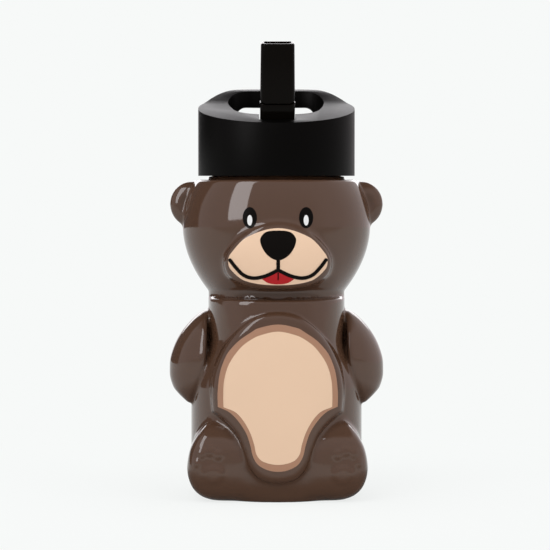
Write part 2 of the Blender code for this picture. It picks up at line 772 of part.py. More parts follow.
def lid_insert():
    """Threaded inner lid: skirt and plate, straw nipple, seal seat and vent."""
    grey = finish("dark_inner_plastic", (0.020, 0.019, 0.018), 0.5)
    skirt_bottom = LID_BOTTOM_Z + INSERT_SKIRT_SHORT
    insert = turned("lid_insert", (
        (0.0, PLATE_TOP_Z),
        (INSERT_RADIUS, PLATE_TOP_Z),
        (INSERT_RADIUS, skirt_bottom),
        (INSERT_INNER_RADIUS, skirt_bottom),
        (INSERT_INNER_RADIUS, PLATE_BOTTOM_Z),
        (0.0, PLATE_BOTTOM_Z),
    ), grey)
    nipple_foot = PLATE_BOTTOM_Z - NIPPLE_LENGTH
    nipple = cylinder("straw_nipple", NIPPLE_RADIUS, (0, SPOUT_Y, nipple_foot),
                      (0, SPOUT_Y, PLATE_BOTTOM_Z + 0.5 * INSERT_PLATE_THICKNESS))
    combine(insert, nipple, "UNION")
    post_radius = TRUNNION_RADIUS - FIT_GAP
    for side, word in ((-1, "left"), (1, "right")):
        inner = side * (POCKET_HALF_WIDTH + FIT_GAP)
        outer = side * (POCKET_HALF_WIDTH + TRUNNION_LENGTH - FIT_GAP)
        low = (min(inner, outer), SPOUT_Y - post_radius, PLATE_TOP_Z - 0.001)
        high = (max(inner, outer), SPOUT_Y + post_radius, PIVOT_Z - TRUNNION_RADIUS - FIT_GAP)
        combine(insert, box(f"trunnion_post_{word}", low, high), "UNION")
    seat = cylinder("seal_seat", SEAL_RADIUS + FIT_GAP, (0, SPOUT_Y, PLATE_TOP_Z - SEAL_SEAT_DEPTH),
                    (0, SPOUT_Y, PLATE_TOP_Z + 0.002))
    combine(insert, seat, "DIFFERENCE")
    port = cylinder("straw_port", SPOUT_BORE_RADIUS, (0, SPOUT_Y, nipple_foot - 0.001),
                    (0, SPOUT_Y, PLATE_TOP_Z))
    combine(insert, port, "DIFFERENCE")
    stem = cylinder("vent_stem_hole", VENT_STEM_RADIUS + FIT_GAP,
                    (0, VENT_Y, PLATE_BOTTOM_Z - 0.001), (0, VENT_Y, PLATE_TOP_Z + 0.001), 12)
    combine(insert, stem, "DIFFERENCE")
    knob_floor = PLATE_TOP_Z - VENT_KNOB_HEIGHT - FIT_GAP
    knob = cylinder("vent_knob_recess", VENT_KNOB_RADIUS + FIT_GAP, (0, VENT_Y, knob_floor),
                    (0, VENT_Y, PLATE_TOP_Z + 0.001), 16)
    combine(insert, knob, "DIFFERENCE")
    for side, word in ((-1, "left"), (1, "right")):
        x = side * VENT_HOLE_SPACING
        hole = cylinder(f"vent_hole_{word}", VENT_HOLE_RADIUS, (x, VENT_Y, PLATE_BOTTOM_Z - 0.001),
                        (x, VENT_Y, PLATE_TOP_Z + 0.001), 10)
        combine(insert, hole, "DIFFERENCE")
    smooth(insert)
    return insert


def lid_gasket():
    """Silicone ring between the rim of the neck and the inner lid."""
    silicone = finish("gasket_silicone", (0.55, 0.55, 0.53), 0.6)
    bottom = GASKET_BOTTOM_Z
    top = GASKET_BOTTOM_Z + GASKET_THICKNESS
    inner = NECK_BORE_RADIUS + FIT_GAP
    outer = INSERT_INNER_RADIUS - FIT_GAP
    soft = GASKET_THICKNESS * 0.25
    ring = turned("lid_gasket", (
        (outer, top),
        (outer, bottom + soft),
        (outer - soft, bottom),
        (inner + soft, bottom),
        (inner, bottom + soft),
        (inner, top),
    ), silicone)
    smooth(ring)
    return ring


# Spout

def spout_frame():
    """Frame on the hinge axis: X across, Z along the leaning spout."""
    return Matrix.Translation((0.0, SPOUT_Y, PIVOT_Z)) @ Matrix.Rotation(SPOUT_LEAN, 4, "X")


def tube_along_spout(name, stations, radius, material=None):
    """Loft of rounded rectangles from rows of (distance, half width, half depth)."""
    rings = []
    for distance, half_width, half_depth in stations:
        corner = min(radius, 0.9 * half_width, 0.9 * half_depth)
        ring = rounded_rectangle(half_width, half_depth, corner)
        rings.append([(across, along, distance) for across, along in ring])
    return loft(name, rings, material)


def spout_barrel():
    """Drum with trunnions, the flanged base and the stub that the mouthpiece pushes onto."""
    black = finish("gloss_black_plastic", (0.010, 0.009, 0.008), 0.16)
    barrel = cylinder("spout_barrel", DRUM_RADIUS, (-DRUM_HALF_WIDTH, 0, 0),
                      (DRUM_HALF_WIDTH, 0, 0), 32, black)
    reach = POCKET_HALF_WIDTH + TRUNNION_LENGTH - FIT_GAP
    pin = cylinder("trunnions", TRUNNION_RADIUS, (-reach, 0, 0), (reach, 0, 0), 16)
    narrow = 0.95 * DRUM_RADIUS
    base = tube_along_spout("spout_base", (
        (0.0, DRUM_HALF_WIDTH, narrow),
        (0.3 * SPOUT_FLANGE, DRUM_HALF_WIDTH, DRUM_RADIUS),
        (0.7 * SPOUT_FLANGE, DRUM_HALF_WIDTH, 0.97 * SPOUT_BASE_HALF_DEPTH),
        (SPOUT_FLANGE, DRUM_HALF_WIDTH, SPOUT_BASE_HALF_DEPTH),
    ), MOUTHPIECE_CORNER_RADIUS)
    inset = MOUTHPIECE_WALL + FIT_GAP
    stub = tube_along_spout("spout_stub", (
        (0.5 * SPOUT_FLANGE, DRUM_HALF_WIDTH - inset, SPOUT_BASE_HALF_DEPTH - inset),
        (SPOUT_FLANGE + STUB_LENGTH, DRUM_HALF_WIDTH - inset, SPOUT_BASE_HALF_DEPTH - inset),
    ), MOUTHPIECE_CORNER_RADIUS - 0.0004)
    channel = cylinder("spout_channel", SPOUT_BORE_RADIUS, (0, 0, -0.01),
                       (0, 0, SPOUT_FLANGE + STUB_LENGTH + 0.001), 16)
    for other in (pin, base, stub, channel):
        other.matrix_world = spout_frame()
    barrel.matrix_world = spout_frame()
    combine(barrel, base, "UNION")
    combine(barrel, stub, "UNION")
    combine(barrel, pin, "UNION")
    combine(barrel, channel, "DIFFERENCE")
    smooth(barrel)
    return barrel


def mouthpiece():
    """Tapered rounded-rectangle mouthpiece, open at both ends."""
    black = finish("mouthpiece_black", (0.012, 0.010, 0.009), 0.14)
    start = SPOUT_FLANGE + FIT_GAP
    edge = 0.0005
    foot = (DRUM_HALF_WIDTH, SPOUT_BASE_HALF_DEPTH)
    tip = (MOUTHPIECE_TIP_HALF_WIDTH, MOUTHPIECE_TIP_HALF_DEPTH)
    sleeve = tube_along_spout("mouthpiece", (
        (start, foot[0] - edge, foot[1] - edge),
        (start + edge, *foot),
        (MOUTHPIECE_END - edge, *tip),
        (MOUTHPIECE_END, tip[0] - edge, tip[1] - edge),
    ), MOUTHPIECE_CORNER_RADIUS, black)
    bore = tube_along_spout("mouthpiece_bore", (
        (start - 0.001, foot[0] - MOUTHPIECE_WALL, foot[1] - MOUTHPIECE_WALL),
        (MOUTHPIECE_END + 0.001, tip[0] - MOUTHPIECE_WALL, tip[1] - MOUTHPIECE_WALL),
    ), MOUTHPIECE_CORNER_RADIUS)
    sleeve.matrix_world = spout_frame()
    bore.matrix_world = spout_frame()
    combine(sleeve, bore, "DIFFERENCE")
    smooth(sleeve)
    return sleeve


# Seals, valve and straw

def barrel_seal():
    """Silicone ring in its seat, with a saddle that the drum turns on."""
    silicone = finish("barrel_silicone", (0.50, 0.50, 0.48), 0.6)
    bottom = PLATE_TOP_Z - SEAL_SEAT_DEPTH + FIT_GAP
    seal = cylinder("barrel_seal", SEAL_RADIUS, (0, SPOUT_Y, bottom),
                    (0, SPOUT_Y, PLATE_TOP_Z + SEAL_PROUD), 24, silicone)
    bore = cylinder("seal_bore", SPOUT_BORE_RADIUS, (0, SPOUT_Y, bottom - 0.001),
                    (0, SPOUT_Y, PLATE_TOP_Z + 0.002), 16)
    saddle = cylinder("seal_saddle", DRUM_RADIUS + FIT_GAP, (-0.01, SPOUT_Y, PIVOT_Z),
                      (0.01, SPOUT_Y, PIVOT_Z), 48)
    combine(seal, saddle, "DIFFERENCE")
    combine(seal, bore, "DIFFERENCE")
    smooth(seal)
    return seal


def vent_valve():
    """Umbrella valve: flap under the plate, stem through it, knob in its recess."""
    silicone = finish("valve_silicone", (0.60, 0.60, 0.58), 0.6)
    flap_top = PLATE_BOTTOM_Z - FIT_GAP
    flap_bottom = flap_top - VENT_FLAP_THICKNESS
    knob_bottom = PLATE_TOP_Z - VENT_KNOB_HEIGHT
    rim = 0.5 * VENT_FLAP_THICKNESS
    valve = turned("vent_valve", (
        (0.0, PLATE_TOP_Z),
        (VENT_KNOB_RADIUS, PLATE_TOP_Z),
        (VENT_KNOB_RADIUS, knob_bottom),
        (VENT_STEM_RADIUS, knob_bottom),
        (VENT_STEM_RADIUS, flap_top),
        (VENT_FLAP_RADIUS, flap_top),
        (VENT_FLAP_RADIUS, flap_top - rim),
        (VENT_STEM_RADIUS, flap_bottom),
        (0.0, flap_bottom),
    ), silicone, 24, (0.0, VENT_Y))
    smooth(valve)
    return valve


def drinking_straw():
    """Straight straw, pushed onto the nipple, with a slanted foot."""
    clear = finish("straw_plastic", (0.72, 0.72, 0.70), 0.25, 0.4)
    straw = turned("drinking_straw", (
        (STRAW_RADIUS, STRAW_TOP_Z),
        (STRAW_RADIUS, STRAW_FOOT_Z),
        (STRAW_BORE_RADIUS, STRAW_FOOT_Z),
        (STRAW_BORE_RADIUS, STRAW_TOP_Z),
    ), clear, 24, (0.0, SPOUT_Y))
    reach = 4.0 * STRAW_RADIUS
    knife = box("straw_tip_cut", (-reach, -reach, -reach), (reach, reach, 0.0))
    lift = STRAW_RADIUS * math.tan(STRAW_TIP_SLANT)
    place_at = Matrix.Translation((0.0, SPOUT_Y, STRAW_FOOT_Z + lift))
    knife.matrix_world = place_at @ Matrix.Rotation(STRAW_TIP_SLANT, 4, "X")
    combine(straw, knife, "DIFFERENCE")
    smooth(straw)
    return straw


# Prints

def film(name, shape, skins, ink):
    """Print film: an outline's solid, kept between two skins over the surface."""
    outer, inner = skins
    shape.name = name
    shape.data.materials.append(ink)
    cutters.objects.unlink(shape)
    parts.objects.link(shape)
    shape.hide_render = False
    shape.display_type = "TEXTURED"
    combine(shape, outer, "INTERSECT")
    combine(shape, inner, "DIFFERENCE")
    smooth(shape)
    return shape


def ellipse_outline(centre_x, centre_z, half_width, half_height):
    points = []
    for i in range(8):
        angle = math.tau * i / 8
        points.append((centre_x + half_width * math.cos(angle),
                       centre_z + half_height * math.sin(angle)))
    return points


def stroke_outline(path, width):
    """Closed outline of a line of even width along a path, with rounded ends."""
    half = width / 2.0
    left = []
    right = []
    last = len(path) - 1
    for i, point in enumerate(path):
        before = Vector(path[max(i - 1, 0)])
        after = Vector(path[min(i + 1, last)])
        along = (after - before).normalized()
        across = Vector((-along.y, along.x)) * half
        here = Vector(point)
        left.append(tuple(here + across))
        right.append(tuple(here - across))
    start_cap = tuple(Vector(path[0]) - (Vector(path[1]) - Vector(path[0])).normalized() * half)
    end_cap = tuple(Vector(path[-1]) + (Vector(path[-1]) - Vector(path[-2])).normalized() * half)
    return [start_cap] + left + [end_cap] + right[::-1]


def skins(form, base, level):
    """Outer and inner skin of a print layer, as offsets from a form's surface."""
    low = base + FIT_GAP + level * (PRINT_THICKNESS + FIT_GAP)
    word = f"{form.__name__}_{round(base * 1e6)}_{level}"
    return form(f"{word}_outer", low + PRINT_THICKNESS), form(f"{word}_inner", low)


def face_prints():
    black = finish("black_ink", (0.010, 0.009, 0.008), 0.3)
    white = finish("white_ink", (0.90, 0.90, 0.90), 0.3)
    peach = finish("peach_ink", (0.78, 0.55, 0.40), 0.4)
    red = finish("red_ink", (0.55, 0.02, 0.03), 0.35)
    near = -FAR
    far = -0.022
    eye_skins = skins(trunk, 0.0, 0)
    glint_skins = skins(trunk, 0.0, 1)
    for side, word in ((-1, "left"), (1, "right")):
        eye = ellipse_outline(side * EYE_X, EYE_Z, EYE_HALF_WIDTH, EYE_HALF_HEIGHT)
        film(f"eye_print_{word}", prism("eye", eye, "Y", near, far, steps=3), eye_skins, black)
        glint = ellipse_outline(
            side * EYE_X, EYE_Z - GLINT_DROP, GLINT_HALF_WIDTH, GLINT_HALF_HEIGHT
        )
        glint_solid = prism("glint", glint, "Y", near, far, steps=2)
        film(f"eye_glint_{word}", glint_solid, glint_skins, white)
    base_skins = skins(muzzle_dome, 0.0, 0)
    top_skins = skins(muzzle_dome, 0.0, 1)
    patch = prism("patch", both_sides(MUZZLE_PATCH_OUTLINE), "Y", near, MUZZLE_BACK_Y)
    film("muzzle_print", patch, base_skins, peach)
    nose = prism("nose", both_sides(NOSE_OUTLINE), "Y", near, MUZZLE_BACK_Y)
    film("nose_print", nose, top_skins, black)
    smile = [(-x, z) for x, z in SMILE_PATH[:0:-1]] + list(SMILE_PATH)
    mouth = prism("mouth", stroke_outline(smile, MOUTH_LINE_WIDTH), "Y", near, MUZZLE_BACK_Y,
                  steps=3)
    stem_half = MOUTH_LINE_WIDTH / 2.0
    stem = box("mouth_stem", (-stem_half, near, MOUTH_APEX_Z),
               (stem_half, MUZZLE_BACK_Y, NOSE_TIP_Z - FIT_GAP))
    combine(mouth, stem, "UNION")
    film("mouth_print", mouth, top_skins, black)
    tongue = prism("tongue", both_sides(TONGUE_OUTLINE), "Y", near, MUZZLE_BACK_Y,
                   mirror_corner(TONGUE_TIP))
    clear = prism("tongue_clearance", stroke_outline(smile, MOUTH_LINE_WIDTH + 2.0 * FIT_GAP),
                  "Y", near, MUZZLE_BACK_Y, steps=3)
    combine(tongue, clear, "DIFFERENCE")
    film("tongue_print", tongue, top_skins, red)


def belly_prints():
    brown = finish("brown_ink", (0.36, 0.21, 0.145), 0.35)
    peach = finish("belly_peach_ink", (0.77, 0.54, 0.39), 0.4)
    tummy_skins = skins(trunk, TUMMY_RISE, 0)
    near = -FAR
    far = -0.015
    hip = mirror_corner(BORDER_HIP_CORNER)
    panel_hip = mirror_corner(PANEL_HIP_CORNER)
    border = prism("border", both_sides(BORDER_OUTLINE), "Y", near, far, hip, 3)
    panel = prism("panel", both_sides(PANEL_OUTLINE), "Y", near, far, panel_hip, 4)
    middle = (PANEL_OUTLINE[0][1] + PANEL_OUTLINE[-1][1]) / 2.0
    half_height = (PANEL_OUTLINE[0][1] - PANEL_OUTLINE[-1][1]) / 2.0
    half_width = PANEL_HIP_CORNER[0]
    wider = [(x * (1.0 + FIT_GAP / half_width), middle + (z - middle) * (1.0 + FIT_GAP / half_height))
             for x, z in both_sides(PANEL_OUTLINE)]
    wide_hip = [point for point, old in zip(wider, both_sides(PANEL_OUTLINE)) if old in panel_hip]
    opening = prism("border_opening", wider, "Y", near - 0.01, far + 0.01, wide_hip, 3)
    combine(border, opening, "DIFFERENCE")
    film("belly_print_border", border, tummy_skins, brown)
    film("belly_print_panel", panel, tummy_skins, peach)


def main():
    global parts, cutters
    for item in list(bpy.data.objects):
        bpy.data.objects.remove(item)
    parts = new_collection("bear_bottle")
    cutters = new_collection("cutters")
    bottle_body()
    lid_shell()
    lid_insert()
    lid_gasket()
    spout_barrel()
    mouthpiece()
    barrel_seal()
    vent_valve()
    drinking_straw()
    face_prints()
    belly_prints()
    bpy.context.view_layer.update()


main()
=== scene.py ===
"""Looks for the bear-shaped water bottle: moulded bear, prints, lid and flip spout.

Lengths are in millimetres until a mesh is made. The bear faces -Y, stands on z = 0 and
has the axis of its neck and lid on x = y = 0.
"""
import json
import math

import bmesh
import bpy
import numpy as np
from mathutils import Matrix, Vector
from mathutils.geometry import delaunay_2d_cdt


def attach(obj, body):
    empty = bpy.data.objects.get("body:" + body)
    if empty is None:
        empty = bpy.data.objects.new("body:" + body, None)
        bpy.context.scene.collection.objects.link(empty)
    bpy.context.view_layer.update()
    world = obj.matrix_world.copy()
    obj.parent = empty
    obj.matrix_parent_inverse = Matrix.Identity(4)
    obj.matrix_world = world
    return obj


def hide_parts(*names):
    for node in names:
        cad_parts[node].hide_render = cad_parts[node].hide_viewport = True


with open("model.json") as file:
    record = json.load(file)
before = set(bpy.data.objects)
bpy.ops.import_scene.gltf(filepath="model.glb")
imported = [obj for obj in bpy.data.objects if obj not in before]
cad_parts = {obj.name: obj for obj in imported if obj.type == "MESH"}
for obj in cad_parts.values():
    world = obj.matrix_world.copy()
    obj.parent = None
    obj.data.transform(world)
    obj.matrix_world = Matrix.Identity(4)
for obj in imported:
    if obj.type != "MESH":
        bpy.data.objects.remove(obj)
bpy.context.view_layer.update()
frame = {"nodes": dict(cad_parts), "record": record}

MM = 0.001

# Trunk of the bear, as (half width, half depth) pairs
TORSO_HALF = (41.0, 39.2)
TAPER_START_Z = 30.0
WAIST_Z = (51.0, 76.0)
CREASE_Z = 95.3
CREASE_HALF = (30.8, 30.5)
CHEST_EDGE = (1.8, 7.0)
CHEST_EDGE_HEIGHT = 1.7
HEEL_HEIGHT = 9.0
HEEL_INSET = (8.5, 2.0)
CHEEK_Z = 129.0
CHEEK_HALF = (45.0, 40.5)
SHOULDER_Z = 150.7
SHOULDER_RADIUS = 38.6
WALL = 1.6
TORSO_POWER = 2.2
CHEST_POWER = 2.5
HEAD_POWER = 2.0
CROWN_POWER = 2.2
TABLE_STEP = 0.25

# Fillets where two forms of the bear meet
LEG_FILLET = 2.4
ARM_FILLET = 2.0
EAR_FILLET = 1.8
MUZZLE_FILLET = 2.4
TUMMY_FILLET = 1.0
BEAD_FILLET = 0.6
NECK_FILLET = 0.5

# Rounded edges of its forms
LIMB_END_ROUND = 2.5
ARM_INNER_ROUND = 2.4
DISH_ROUND = 1.2
MUZZLE_ROUND = 2.4
TUMMY_ROUND = 2.8
SHOULDER_ROUND = 1.2
NECK_ROUND = 0.8
BEAD_ROUND = 0.9
BASE_ROUND = 0.8

# Arms: height, inner x, outer x, centre y, half depth
ARM_ROWS = (
    (43.8, 40.6, 42.2, -8.2, 2.0),
    (45.2, 40.3, 43.5, -8.1, 3.8),
    (48.1, 39.6, 46.6, -8.0, 6.2),
    (50.9, 38.6, 49.1, -8.0, 7.9),
    (53.8, 37.4, 50.4, -8.1, 9.2),
    (57.0, 36.1, 51.2, -8.2, 10.2),
    (60.5, 34.9, 51.3, -8.3, 10.9),
    (64.5, 33.9, 51.1, -8.4, 11.4),
    (70.0, 33.4, 49.6, -8.3, 11.6),
    (76.0, 33.2, 46.8, -8.0, 11.2),
    (82.0, 33.0, 42.4, -7.4, 9.0),
    (86.0, 32.8, 38.4, -6.7, 6.2),
    (88.8, 32.4, 34.8, -6.0, 3.0),
)
ARM_POWER = 2.3
ARM_SLANT = 0.6
ARM_MIDDLE = 0.28

# Legs: height, reach past the torso's side, width, reach past its front, half depth
LEG_ROWS = (
    (0.0, -12.5, 21.0, -9.0, 12.5),
    (0.3, -9.9, 23.2, -7.0, 13.4),
    (1.0, -7.4, 25.4, -5.1, 14.2),
    (2.0, -5.2, 27.2, -3.5, 14.8),
    (3.5, -3.2, 28.8, -2.1, 15.0),
    (5.5, -1.4, 30.2, -1.2, 15.0),
    (8.0, 0.0, 31.4, -0.8, 15.0),
    (11.0, 1.0, 32.0, -0.6, 15.0),
    (14.5, 1.5, 32.3, -0.6, 15.0),
    (20.0, 1.1, 32.1, -0.8, 15.0),
    (26.0, -0.6, 26.4, -1.3, 14.0),
    (31.0, -3.4, 18.1, -2.9, 12.0),
    (35.0, -6.5, 10.5, -6.2, 8.0),
    (37.5, -9.0, 3.5, -9.4, 4.0),
)
LEG_POWER = 4.0

# Raised pads on the soles: centre x and z, half width, half height, rise.
# Each is flat up to the share PAD_TOP of its size and ends at PAD_EDGE.
PADS = (
    (30.4, 12.9, 4.9, 4.5, 0.50),
    (27.9, 22.6, 1.9, 2.4, 0.36),
    (31.8, 24.4, 2.0, 2.6, 0.36),
    (35.8, 23.2, 1.9, 2.5, 0.36),
    (38.0, 18.9, 1.6, 2.2, 0.30),
)
PAD_TOP = 0.6
PAD_EDGE = 1.3
SOLE_Y = -20.0

# Ears
EAR_Z = 139.1
EAR_Y = -2.0
EAR_RADIUS = 10.3
EAR_HALF_HEIGHT = 10.8
EAR_HALF_THICKNESS = 4.8
EAR_SUNK = 3.2
DISH_RADIUS = 6.6
DISH_DEPTH = 1.4
DISH_SHIFT = 0.15

# Muzzle
MUZZLE_CENTRE = (0.0, -30.0, 115.5)
MUZZLE_DOME = (28.5, 14.5, 24.0)
MUZZLE_KNOTS = (
    (0.0, 131.0), (7.0, 130.0), (13.5, 127.0), (19.5, 122.4), (24.0, 116.5),
    (25.3, 111.5), (23.5, 106.0), (17.0, 102.0), (9.0, 100.2), (0.0, 99.8),
)

# Tummy
TUMMY_RISE = 2.8
TUMMY_CENTRE_Z = 46.0
TUMMY_BACK_Y = -10.0
TUMMY_KNOTS = (
    (0.0, 88.8), (12.0, 85.8), (23.2, 75.5), (29.3, 64.0), (31.4, 53.0), (30.8, 42.0),
    (24.0, 37.0), (19.0, 31.0), (16.0, 23.5), (13.2, 16.0), (8.0, 10.8), (0.0, 9.3),
)
TUMMY_CORNER = (30.8, 42.0)

# Neck finish
NECK_BORE = 28.4
NECK_RADIUS = 30.6
NECK_TOP_Z = 167.0
BEAD_RADIUS = 32.6
BEAD_TOP_Z = 152.3
THREAD_PITCH = 4.4
THREAD_START_Z = 155.6
THREAD_TURNS = 1.6
THREAD_ROOT = 1.1
THREAD_CREST = 0.45
THREAD_FADE = 9.0
THREAD_LEAST = 0.02
THREAD_SUNK = 0.1
NECK_THREAD_RISE = 1.15
LID_THREAD_RISE = 0.5
LID_THREAD_SHIFT = 0.4

# Grid that the bear's mesh is made on, and steps for finding its surface
SKIN_CELL = 0.9
CAVITY_CELL = 1.4
GRID_LOW = (0.0, -50.0, -2.0)
GRID_HIGH = (58.0, 47.0, NECK_TOP_Z + 5.0)
NUDGE = 0.02
LEAST_SLOPE = 0.2
LONGEST_STEP = 0.6
FRONT_Y = (-60.0, -12.0)
HALVINGS = 26

# Lid
LID_RADIUS = 37.5
LID_INNER_RADIUS = 35.3
LID_BOTTOM_Z = 152.6
LID_WALL = 2.2
FLOOR_BOTTOM_Z = 172.6
FLOOR_TOP_Z = 174.6
DECK_FRONT_HEIGHT = 24.6
DECK_SLOPE = 0.205
REAR_RISE = 3.7
REAR_RISE_Y = (12.5, 33.0)
LOOP_TOP_HEIGHT = 42.9
LOOP_TOP_BLEND = 1.2
WELL_KNOTS = (
    (0.0, 28.8), (7.0, 28.8), (13.5, 28.6), (19.6, 25.6), (23.1, 17.8), (22.9, 10.0),
    (21.9, 3.1), (19.3, -7.0), (15.0, -12.4), (8.6, -15.3), (0.0, -16.2),
)
WELL_WALL = 2.0
WINDOW_HALF_WIDTH = 19.0
WINDOW_HALF_HEIGHT = 30.0
WINDOW_TOP = 33.5
WINDOW_CORNER = 4.5
LID_EDGE = 0.7
POCKET_HALF_WIDTH = 8.55
POCKET_FRONT_Y = -29.0
POCKET_REAR_Y = -8.0
POCKET_WALL = 1.8
CAVITY_REAR_Y = 15.0
SLOT_REACH = 2.2
RUN_GAP = 0.3
LID_SEGMENTS = 144
INSERT_INNER_RADIUS = 32.4

# How far cutting blocks reach past what they cut
PAST = 60.0
OVERRUN = 10.0
OVERLAP = 1.0
SLOT_SEGMENTS = 24

# Flip spout, in its own frame on the hinge axis
SPOUT_Y = -23.5
PIVOT_Z = 177.0
SPOUT_LEAN = math.radians(12.0)
DRUM_RADIUS = 4.3
DRUM_HALF_WIDTH = 8.15
DRUM_RIM = ((1.0, 0.5), (0.97, 0.12), (0.94, 0.0))
SPOUT_BORE = 2.2
TRUNNION_RADIUS = 1.7
TRUNNION_REACH = 10.45
FLANGE = 9.1
FLANGE_REACH = 0.1
FLANGE_ROUND = 0.6
BASE_HALF_DEPTH = 5.1
STUB_START = 5.0
STUB_END = 19.0
STUB_CORNER = 1.8
MOUTHPIECE_START = 9.4
FOOT_CURVE = 1.8
MOUTHPIECE_END = 38.5
MOUTHPIECE_WALL = 1.7
TIP_HALF = (7.85, 4.6)
SPOUT_CORNER = 2.4
BORE_CORNER = 1.4
LIP = 0.3
FOOT_ROUND = 0.35
TIP_ROUND = 0.7

# Prints on the face
EYE_CENTRE = (13.1, 133.1)
EYE_HALF = (3.3, 4.9)
GLINT_HALF = (1.16, 2.46)
GLINT_DROP = 1.2
MOUTH_WIDTH = 1.7
PATCH_KNOTS = (
    (0.0, 128.3), (14.4, 124.1), (22.0, 116.4), (23.1, 113.3), (22.2, 109.3),
    (15.3, 103.8), (0.0, 101.8),
)
NOSE_KNOTS = ((0.0, 127.2), (6.0, 126.3), (8.35, 122.6), (5.4, 116.3), (0.0, 113.4))
SMILE_KNOTS = (
    (0.0, 108.9), (6.0, 106.1), (11.6, 105.1), (16.2, 106.6), (19.9, 110.3), (22.3, 113.4),
)
STEM_PATH = ((0.0, 108.9), (0.0, 111.0), (0.0, 113.8))
TONGUE_KNOTS = ((0.0, 108.3), (4.0, 106.4), (7.4, 104.6), (4.4, 102.8), (0.0, 102.2))
TONGUE_TIP = (7.4, 104.6)
TONGUE_LINE = ((0.0, 107.5), (0.0, 106.0), (0.0, 104.4))
TONGUE_LINE_WIDTH = 0.55

# Prints on the tummy
BORDER_KNOTS = (
    (0.0, 83.5), (9.3, 81.7), (12.5, 79.8), (17.8, 76.1), (21.5, 72.3), (24.1, 68.6),
    (26.9, 61.1), (28.1, 52.0), (28.1, 44.6), (22.9, 42.5), (18.8, 38.7), (15.0, 33.1),
    (13.0, 27.5), (11.6, 21.9), (9.3, 18.2), (5.0, 15.8), (0.0, 15.0),
)
BORDER_CORNER = (28.1, 44.6)
PANEL_KNOTS = (
    (0.0, 80.2), (8.5, 78.4), (13.0, 76.1), (17.6, 72.3), (22.7, 64.9), (25.0, 57.4),
    (25.5, 50.0), (25.4, 44.6), (19.9, 42.5), (16.2, 38.7), (13.0, 33.1), (11.1, 27.5),
    (10.0, 22.9), (7.2, 19.8), (0.0, 18.2),
)
PANEL_CORNER = (25.4, 44.6)

# Films of ink: thickness, depth in the skin below, spacing of their points
INK = 0.10
INK_SUNK = 0.06
INK_GRID = 1.1
FINE_GRID = 0.8
FINEST_GRID = 0.6
GRID_SHIFT = (0.013, 0.017)

# Photograph's view
CAMERA_DISTANCE = 1200.0
CAMERA_HEIGHT = 150.0
AIM = (-0.7, 0.0, 105.0)
CAMERA_YAW = math.radians(1.0)
LENS = 163.6

# Stage
BACKGROUND = (0.930, 0.947, 0.939)
FLOOR_RADIUS = 4000.0
FLOOR_Z = -0.06
PANEL_DISTANCE = 1500.0
LAMP_DISTANCE = 1400.0
LIT_POINT = (0.0, 0.0, 100.0)

# Panels: name, azimuth, elevation, width, height, strength
PANELS = (
    ("window_panel", 46.0, 28.0, 620.0, 1400.0, 5.6),
    ("rear_panel", 180.0, 24.0, 1600.0, 700.0, 3.4),
)
PANEL_TINT = (1.0, 0.98, 1.0, 1.0)

# Lamps: name, azimuth, elevation, size, power
LAMPS = (("key_lamp", 35.0, 50.0, 900.0, 4.5), ("fill_lamp", -50.0, 35.0, 900.0, 2.5))

# Light of the surroundings and the floor
SOFT_STRENGTH = 0.90
MIRRORED_TINT = (1.0, 0.93, 0.95, 1.0)
FLOOR_MATT = (0.15, 0.153, 0.152, 1.0)
FLOOR_GLOW = 0.83
FLOOR_BOUNCE = (0.72, 0.72, 0.72, 1.0)

# Where their light changes: start, end, value at the start, value at the end
CEILING = (0.62, 0.88, 1.0, 0.22)
FRONT = (-0.85, -0.45, 0.45, 0.0)
LOW = (0.05, 0.45, -0.5, 0.0)
FLOOR_FADE = (0.07, 0.25, 0.0, 1.0)
# Painted shadow: the floor's glow seen in reflections is dimmed near the bottle
FLOOR_PAINTED_SHADOW = (0.05, 0.20, 0.20, 1.0)
# Painted shade: the floor's glow seen in reflections is dimmed towards the front
FLOOR_PAINTED_FRONT_SHADE = (-0.90, -0.25, 0.60, 1.0)

# Brightness mirrored all round, by the share of a turn from behind by way of the right
WALLS = (
    (0.0, 1.0), (0.20, 1.0), (0.30, 0.85), (0.70, 0.80), (0.79, 0.78), (0.80, 0.10),
    (0.935, 0.10), (0.945, 1.0),
)


# Outlines

def curve_point(t, start, end, leave, arrive):
    """Point a share t of the way between two knots, with the slopes at both."""
    return ((2 * t ** 3 - 3 * t ** 2 + 1) * start + (t ** 3 - 2 * t ** 2 + t) * leave
            + (3 * t ** 2 - 2 * t ** 3) * end + (t ** 3 - t ** 2) * arrive)


def mirrored_curve(knots, corner=None, steps=8):
    """Closed curve from the knots of its half at +X, listed from the top to the bottom.

    It is smooth through all its knots but the corner.
    """
    knots = [*knots, *((-x, z) for x, z in knots[-2:0:-1])]
    sharp = [(abs(x), z) == corner for x, z in knots]
    knots = np.array(knots, float)
    count = len(knots)
    points = []
    for i in range(count):
        before, start, end, after = (knots[(i + k) % count] for k in (-1, 0, 1, 2))
        span = np.linalg.norm(end - start)
        leave = (end - before) / (span + np.linalg.norm(start - before)) * span
        arrive = (after - start) / (span + np.linalg.norm(after - end)) * span
        if sharp[i]:
            leave = end - start
        if sharp[(i + 1) % count]:
            arrive = end - start
        points += [curve_point(step / steps, start, end, leave, arrive)
                   for step in range(steps)]
    return np.array(points)


def open_curve(knots, steps=8):
    """Points of a smooth open curve through its knots."""
    knots = np.array(knots, float)
    slopes = np.gradient(knots, axis=0)
    points = [curve_point(step / steps, knots[i], knots[i + 1], slopes[i], slopes[i + 1])
              for i in range(len(knots) - 1) for step in range(steps)]
    return np.array(points + [knots[-1]])


